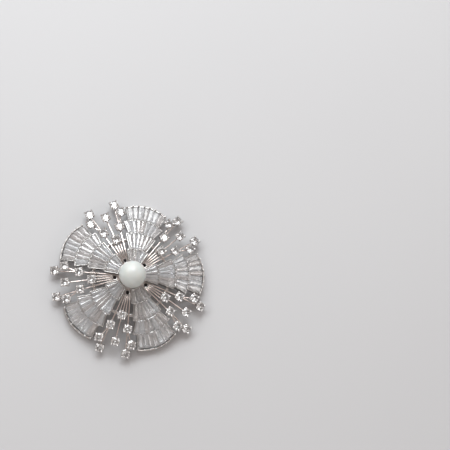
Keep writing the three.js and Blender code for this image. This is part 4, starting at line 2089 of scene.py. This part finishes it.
@dataclass
class BackFittings(Assembly):
    """The ring behind the fans, and the pin with its hinge and its catch.

    Attributes:
        record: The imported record, which gives the joints' places.
        ring: The width of the ring behind the fans.
        stem: The pin's radius.
        waist: How thick the shank is before its point, as a share of its root.
        point: The length of the pin's point.
        eye: The radius of the pin's eye.
        eye_width: The eye's width.
        hole: The radius of the rivet's hole.
        head: The radius of a rivet's head.
        head_height: The height of a rivet's head.
        plate: The thickness of the hinge's plate.
        ear: The thickness of a hinge ear.
        ear_gap: The space between the ears.
        bore: The radius of the roller's bore.
        roller: The radius of the roller.
        case_inner: The inner radius of the catch's case.
        case_outer: The outer radius of the catch's case.
        slot: The width of the slots.
        lever_angle: The angle of the roller's lever at rest, in degrees.
        travel: How far the roller turns, in degrees.
        lever_aside: How far the lever stands from the catch's middle.
        lever: The stations of the lever: how far out, half width, half thickness.
        window: Half the width of the window that the lever moves in.
        window_margin: How much further than the lever the window goes, in degrees.
        shade: How deep in shade the fittings' metal is, from 0 to 1.
    """

    record: dict
    ring: float = 1.2
    stem: float = 0.45
    waist: float = 0.94
    point: float = 4.0
    eye: float = 1.0
    eye_width: float = 1.0
    hole: float = 0.5
    head: float = 0.8
    head_height: float = 0.35
    plate: float = 0.8
    ear: float = 0.8
    ear_gap: float = 1.1
    bore: float = 0.75
    roller: float = 1.35
    case_inner: float = 1.45
    case_outer: float = 2.0
    slot: float = 1.2
    lever_angle: float = -35.0
    travel: float = 95.0
    lever_aside: float = 0.8
    lever: Tuple[Tuple[float, float, float], ...] = (
        (1.0, 0.38, 0.19), (1.6, 0.36, 0.18), (2.1, 0.3, 0.17), (2.3, 0.32, 0.2),
        (2.45, 0.36, 0.2), (2.6, 0.34, 0.19), (2.7, 0.22, 0.13),
    )
    window: float = 0.6
    window_margin: float = 15.0
    shade: float = 0.18

    @staticmethod
    def span(node: str, axis: int) -> Tuple[float, float]:
        """Measures a CAD node along an axis.

        Args:
            node: The node's name.
            axis: 0, 1 or 2 for X, Y or Z.

        Returns:
            Its lowest and highest place, in millimetres.
        """
        low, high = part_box(node)
        return low[axis] / MM, high[axis] / MM

    @staticmethod
    def across(x: float, z: float) -> Matrix:
        """Gives the place of something turned round an axis along Y.

        Args:
            x: Where the axis is.
            z: How high the axis is.

        Returns:
            The matrix that takes Z to Y there.
        """
        return Matrix.Translation((x, 0, z)) @ Matrix.Rotation(-math.pi / 2, 4, "X")

    def fit(self, made: bpy.types.Object, body: Body, slot: Slot, node: str) -> None:
        """Dresses a fitting and keeps it.

        Args:
            made: The fitting.
            body: The body that it moves with.
            slot: The record's slot that its finish is from.
            node: The CAD node that it stands for.
        """
        steel = slot is Slot.STEEL
        Workshop.dress(made, self.finishes.steel if steel else self.finishes.rhodium)
        Workshop.note(made, "recess", lambda place: self.shade)
        self.keep(made, body, slot, node)

    def back_ring(self) -> None:
        """Turns the ring."""
        outer = self.span("back_ring", 0)[1]
        low, high = self.span("back_ring", 2)
        section = rounded_box(self.ring, low, high, 0.3, 4)
        shell = Shell()
        shell.lathe([(outer - self.ring / 2 + x, z) for x, z in section], 96)
        made = shell.object("ring_behind")
        self.fit(made, Body.JEWEL, Slot.RHODIUM, "back_ring")

    @staticmethod
    def slab(
        shell: Shell, outline: Sequence[Pair], start: float, end: float,
        upright: bool = False, chamfer: float = 0.08,
    ) -> None:
        """Adds a flat piece with softened edges.

        Args:
            shell: Where it is added.
            outline: Its outline as pairs.
            start: Its first face.
            end: Its last face.
            upright: Whether it stands across Y; else it lies flat.
            chamfer: How much its edges are softened.
        """
        count = len(outline)
        middle = (sum(x for x, _ in outline) / count, sum(y for _, y in outline) / count)
        small = []
        for x, y in outline:
            dx, dy = x - middle[0], y - middle[1]
            share = 1 - chamfer / max(math.hypot(dx, dy), chamfer * 2)
            small.append((middle[0] + dx * share, middle[1] + dy * share))
        levels = (
            (small, start), (outline, start + chamfer), (outline, end - chamfer), (small, end)
        )
        shell.loft([
            [Vector((x, depth, y) if upright else (x, y, depth)) for x, y in ring]
            for ring, depth in levels
        ])

    def hinge(self, x: float, z: float) -> None:
        """Makes the hinge block and its rivet.

        Args:
            x: Where the hinge's axis is.
            z: How high the axis is.
        """
        high = self.span("hinge_block", 2)[1]
        left, right = self.span("hinge_block", 1)
        back, front = self.span("hinge_block", 0)
        shell = Shell()
        half = (front - back) / 2
        base = high - self.plate
        plate = [(back, left), (front, left), (front, right), (back, right)]
        self.slab(shell, plate, base, high)
        round_end = arc((x, z), half, 180, 360, 12)
        outline = [*round_end, (x + half, base + 0.3), (x - half, base + 0.3)]
        for side in (-1, 1):
            inner, outer = side * self.ear_gap / 2, side * (self.ear_gap / 2 + self.ear)
            self.slab(shell, outline, min(inner, outer), max(inner, outer), True)
        made = shell.object("hinge_ears")
        self.fit(made, Body.JEWEL, Slot.RHODIUM, "hinge_block")
        start, end = self.span("hinge_rivet", 1)
        half_rivet = (
            (0.02, 0.0), (self.head * 0.6, 0.04), (self.head * 0.92, 0.16),
            (self.head, self.head_height), (self.stem, self.head_height),
        )
        profile = [(radius, start + rise) for radius, rise in half_rivet]
        profile += [(radius, end - rise) for radius, rise in reversed(half_rivet)]
        shell = Shell()
        shell.lathe(profile, 24, self.across(x, z))
        made = shell.object("hinge_pin")
        self.fit(made, Body.JEWEL, Slot.STEEL, "hinge_rivet")

    def pin(self, x: float, z: float) -> None:
        """Makes the pin: an eye and a shank that narrows to a point.

        Args:
            x: Where the hinge's axis is.
            z: How high the axis is.
        """
        tip = self.span("pin_stem", 0)[1]
        start = x + self.hole + self.stem / 2
        slim = self.stem * self.waist
        stations = [
            (start, self.stem), (start + 1.5, self.stem * 0.96), (tip - self.point, slim)
        ]
        for share in (0.25, 0.5, 0.7, 0.85, 0.95, 0.99):
            size = slim * math.sqrt(1 - share**1.6)
            stations.append((tip - self.point * (1 - share), max(size, 0.04)))
        rings = [
            [Vector((place, y, z + up)) for y, up in arc((0, 0), size, 0, 342, 19)]
            for place, size in stations
        ]
        shell = Shell()
        shell.loft(rings)
        half = self.eye_width / 2
        profile = [
            (self.hole, -half), (self.eye - 0.12, -half), (self.eye, -half + 0.14),
            (self.eye, half - 0.14), (self.eye - 0.12, half), (self.hole, half),
        ]
        shell.lathe(profile, 32, self.across(x, z))
        made = shell.object("pin_with_eye")
        self.fit(made, Body.PIN, Slot.STEEL, "pin_stem")

    def slotted(self, inner: float, outer: float) -> List[Pair]:
        """Gives the section of a tube with a slot below, across and up.

        Args:
            inner: Its inner radius.
            outer: Its outer radius.

        Returns:
            The section's outline.
        """
        wide = math.degrees(math.asin(self.slot / 2 / outer))
        tight = math.degrees(math.asin(self.slot / 2 / inner))
        return [
            *arc((0, 0), outer, -90 + wide, 270 - wide, 36),
            *arc((0, 0), inner, 270 - tight, -90 + tight, 36),
        ]

    def tube(
        self, shell: Shell, inner: float, outer: float, start: float, end: float,
        z: float, soft: float = 0.1,
    ) -> None:
        """Adds a slotted tube along X with softened ends.

        Args:
            shell: Where it is added.
            inner: Its inner radius.
            outer: Its outer radius.
            start: Where it begins.
            end: Where it ends.
            z: The height of its axis.
            soft: How much its ends are softened.
        """
        full = self.slotted(inner, outer)
        slim = self.slotted(inner + soft / 2, outer - soft)
        levels = ((slim, start), (full, start + soft), (full, end - soft), (slim, end))
        shell.loft([[Vector((x, y, z + up)) for y, up in ring] for ring, x in levels])

    def catch(self, x: float, z: float) -> None:
        """Makes the catch's case and its roller with a lever.

        Args:
            x: The middle of the catch.
            z: The height of its axis.
        """
        start, end = self.span("catch_case", 0)
        top = self.span("catch_case", 2)[1]
        lever_x = x + self.lever_aside
        shell = Shell()
        self.tube(shell, self.case_inner, self.case_outer, start, end, z)
        case = shell.object("catch_case_body")
        cutter = self.window_cutter(lever_x, z)
        cut = case.modifiers.new("window", "BOOLEAN")
        cut.operation, cut.object, cut.solver = "DIFFERENCE", cutter, "EXACT"
        Workshop.bake(case)
        Workshop.discard(cutter)
        pad = [(start, -0.9), (start + 1.8, -0.9), (start + 1.8, 0.9), (start, 0.9)]
        block = Shell()
        self.slab(block, pad, z + self.case_outer - 0.4, top)
        case = Workshop.join("catch_shell", [case, block.object("catch_pad")])
        Workshop.smooth(case, 35.0)
        self.fit(case, Body.JEWEL, Slot.RHODIUM, "catch_case")
        roller = self.roller_with_lever(lever_x, z)
        self.fit(roller, Body.ROLLER, Slot.RHODIUM, "catch_roller")

    def window_cutter(self, lever_x: float, z: float) -> bpy.types.Object:
        """Makes the wedge that cuts the lever's window out of the case.

        Args:
            lever_x: Where the lever stands along X.
            z: The height of the axis.

        Returns:
            The wedge.
        """
        low = self.lever_angle - self.window_margin
        high = self.lever_angle + self.travel + self.window_margin
        wedge = [(0.0, 0.0), *arc((0, 0), self.case_outer * 1.5, low, high, 12)]
        shell = Shell()
        shell.loft([
            [Vector((place, y, z + up)) for y, up in wedge]
            for place in (lever_x - self.window, lever_x + self.window)
        ])
        return shell.object("window_cutter", None)

    def roller_with_lever(self, lever_x: float, z: float) -> bpy.types.Object:
        """Makes the roller, with a lever that ends in a ball.

        Args:
            lever_x: Where the lever stands along X.
            z: The height of the axis.

        Returns:
            The roller.
        """
        start, end = self.span("catch_roller", 0)
        shell = Shell()
        self.tube(shell, self.bore, self.roller, start, end, z, 0.06)
        angle = math.radians(self.lever_angle)
        out = Vector((0.0, math.cos(angle), math.sin(angle)))
        aside = Vector((1.0, 0.0, 0.0))
        thick = aside.cross(out)
        origin = Vector((lever_x, 0.0, z))
        rings = []
        for reach, wide, high in self.lever:
            centre = origin + out * reach
            rings.append([
                centre + aside * (wide * px) + thick * (high * py)
                for px, py in arc((0, 0), 1.0, 0, 337.5, 15)
            ])
        shell.loft(rings)
        return shell.object("roller_with_lever")

    def build(self) -> None:
        """Makes every fitting round the joints' axes."""
        joints = {joint["name"]: joint["pos_m"] for joint in self.record["behaviour"]["joints"]}
        hinge_x, _, hinge_z = (part / MM for part in joints["pin_hinge"])
        catch_x, _, catch_z = (part / MM for part in joints["catch_roll"])
        self.back_ring()
        self.hinge(hinge_x, hinge_z)
        self.pin(hinge_x, hinge_z)
        self.catch(catch_x, catch_z)


# ---- Studio ------------------------------------------------------------------------


@dataclass(frozen=True)
class SoftBox:
    """A soft rectangular light.

    Attributes:
        name: Its name.
        place: Where it hangs.
        width: Its width.
        height: Its height.
        power: Its power in watts.
        colour: Its colour.
    """

    name: str
    place: Tuple[float, float, float]
    width: float
    height: float
    power: float
    colour: Colour

    def hang(self) -> None:
        """Hangs the light so that it faces the origin."""
        lamp = bpy.data.lights.new(self.name, "AREA")
        lamp.shape, lamp.size, lamp.size_y = "RECTANGLE", self.width * MM, self.height * MM
        lamp.energy, lamp.color = self.power, self.colour
        made = Workshop.placed(self.name, lamp)
        made.location = Vector(self.place) * MM
        made.rotation_euler = (-made.location).to_track_quat("-Z", "Y").to_euler()


@dataclass(frozen=True)
class Studio:
    """Camera, lights, surroundings and floor.

    Attributes:
        eye: Where the camera stands.
        aim: What it looks at.
        lens: Its focal length.
        fill: The colour of the surroundings.
        fill_strength: How bright the surroundings are.
        floor: Half the floor's side.
        lights: The soft boxes.
    """

    eye: Tuple[float, float, float] = (-47.0, -76.0, 600.0)
    aim: Tuple[float, float, float] = (35.9, 21.3, 0.0)
    lens: float = 130.0
    fill: Colour = (1.0, 0.895, 0.84)
    fill_strength: float = 0.44
    floor: float = 3000.0
    lights: Tuple[SoftBox, ...] = (
        SoftBox("north_window", (-40, 450, 500), 460, 310, 3.5, (0.95, 0.985, 1.0)),
        SoftBox("north_west_window", (-400, 250, 440), 300, 150, 1.1, (0.96, 0.99, 1.0)),
        SoftBox("low_north_window", (-60, 560, 210), 640, 130, 0.8, (0.96, 0.99, 1.0)),
        SoftBox("east_bounce", (520, 60, 330), 260, 200, 0.35, (1.0, 0.985, 0.97)),
        SoftBox("south_bounce", (-60, -560, 170), 420, 120, 0.5, (1.0, 0.97, 0.95)),
    )

    def camera(self) -> None:
        """Sets the camera up, with +Y upwards in its view."""
        data = bpy.data.cameras.new("view")
        data.lens, data.sensor_width = self.lens, 36.0
        data.clip_start, data.clip_end = 0.01, 20.0
        made = Workshop.placed("view", data)
        eye, aim = Vector(self.eye) * MM, Vector(self.aim) * MM
        forward = (aim - eye).normalized()
        right = forward.cross(Vector((0, 1, 0))).normalized()
        turn = Matrix((right, right.cross(forward), -forward)).transposed()
        made.matrix_world = Matrix.Translation(eye) @ turn.to_4x4()
        bpy.context.scene.camera = made

    def surroundings(self) -> None:
        """Lights the scene evenly from all round and hangs the soft boxes."""
        world = bpy.data.worlds.new("studio")
        world.use_nodes = True
        world.node_tree.nodes.clear()
        graph = Graph(world.node_tree)
        inputs = {"Color": (*self.fill, 1.0), "Strength": self.fill_strength}
        glow = graph.node("ShaderNodeBackground", None, inputs)
        graph.node("ShaderNodeOutputWorld", None, {"Surface": glow.outputs[0]})
        bpy.context.scene.world = world
        bpy.context.scene.view_settings.view_transform = "Standard"
        for light in self.lights:
            light.hang()

    def ground(self, finishes: Finishes) -> None:
        """Lays the floor that the pin rests on.

        Args:
            finishes: The materials.
        """
        half = self.floor * MM
        mesh = bpy.data.meshes.new("floor")
        corners = [(-half, -half, 0), (half, -half, 0), (half, half, 0), (-half, half, 0)]
        mesh.from_pydata(corners, [], [(0, 1, 2, 3)])
        made = Workshop.placed("floor", mesh)
        Workshop.dress(made, finishes.floor)


def main() -> None:
    """Builds the pin and its studio in order."""
    logging.basicConfig(level=logging.INFO, format="%(name)s: %(message)s")
    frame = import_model()
    studio = Studio()
    studio.camera()
    finishes = Finishes.make()
    growth = Growth()
    dome, plan = Dome(), FanPlan()
    for assembly in (
        BaguetteFans(finishes, growth, dome, plan),
        FanFrames(finishes, growth, dome, plan),
        Sprays(finishes, growth, dome),
        PearlAndCup(finishes, growth),
        BackFittings(finishes, growth, frame["record"]),
    ):
        assembly.build()
        assembly.dress()
    studio.surroundings()
    studio.ground(finishes)
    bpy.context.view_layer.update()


if __name__ == "__main__":
    main()
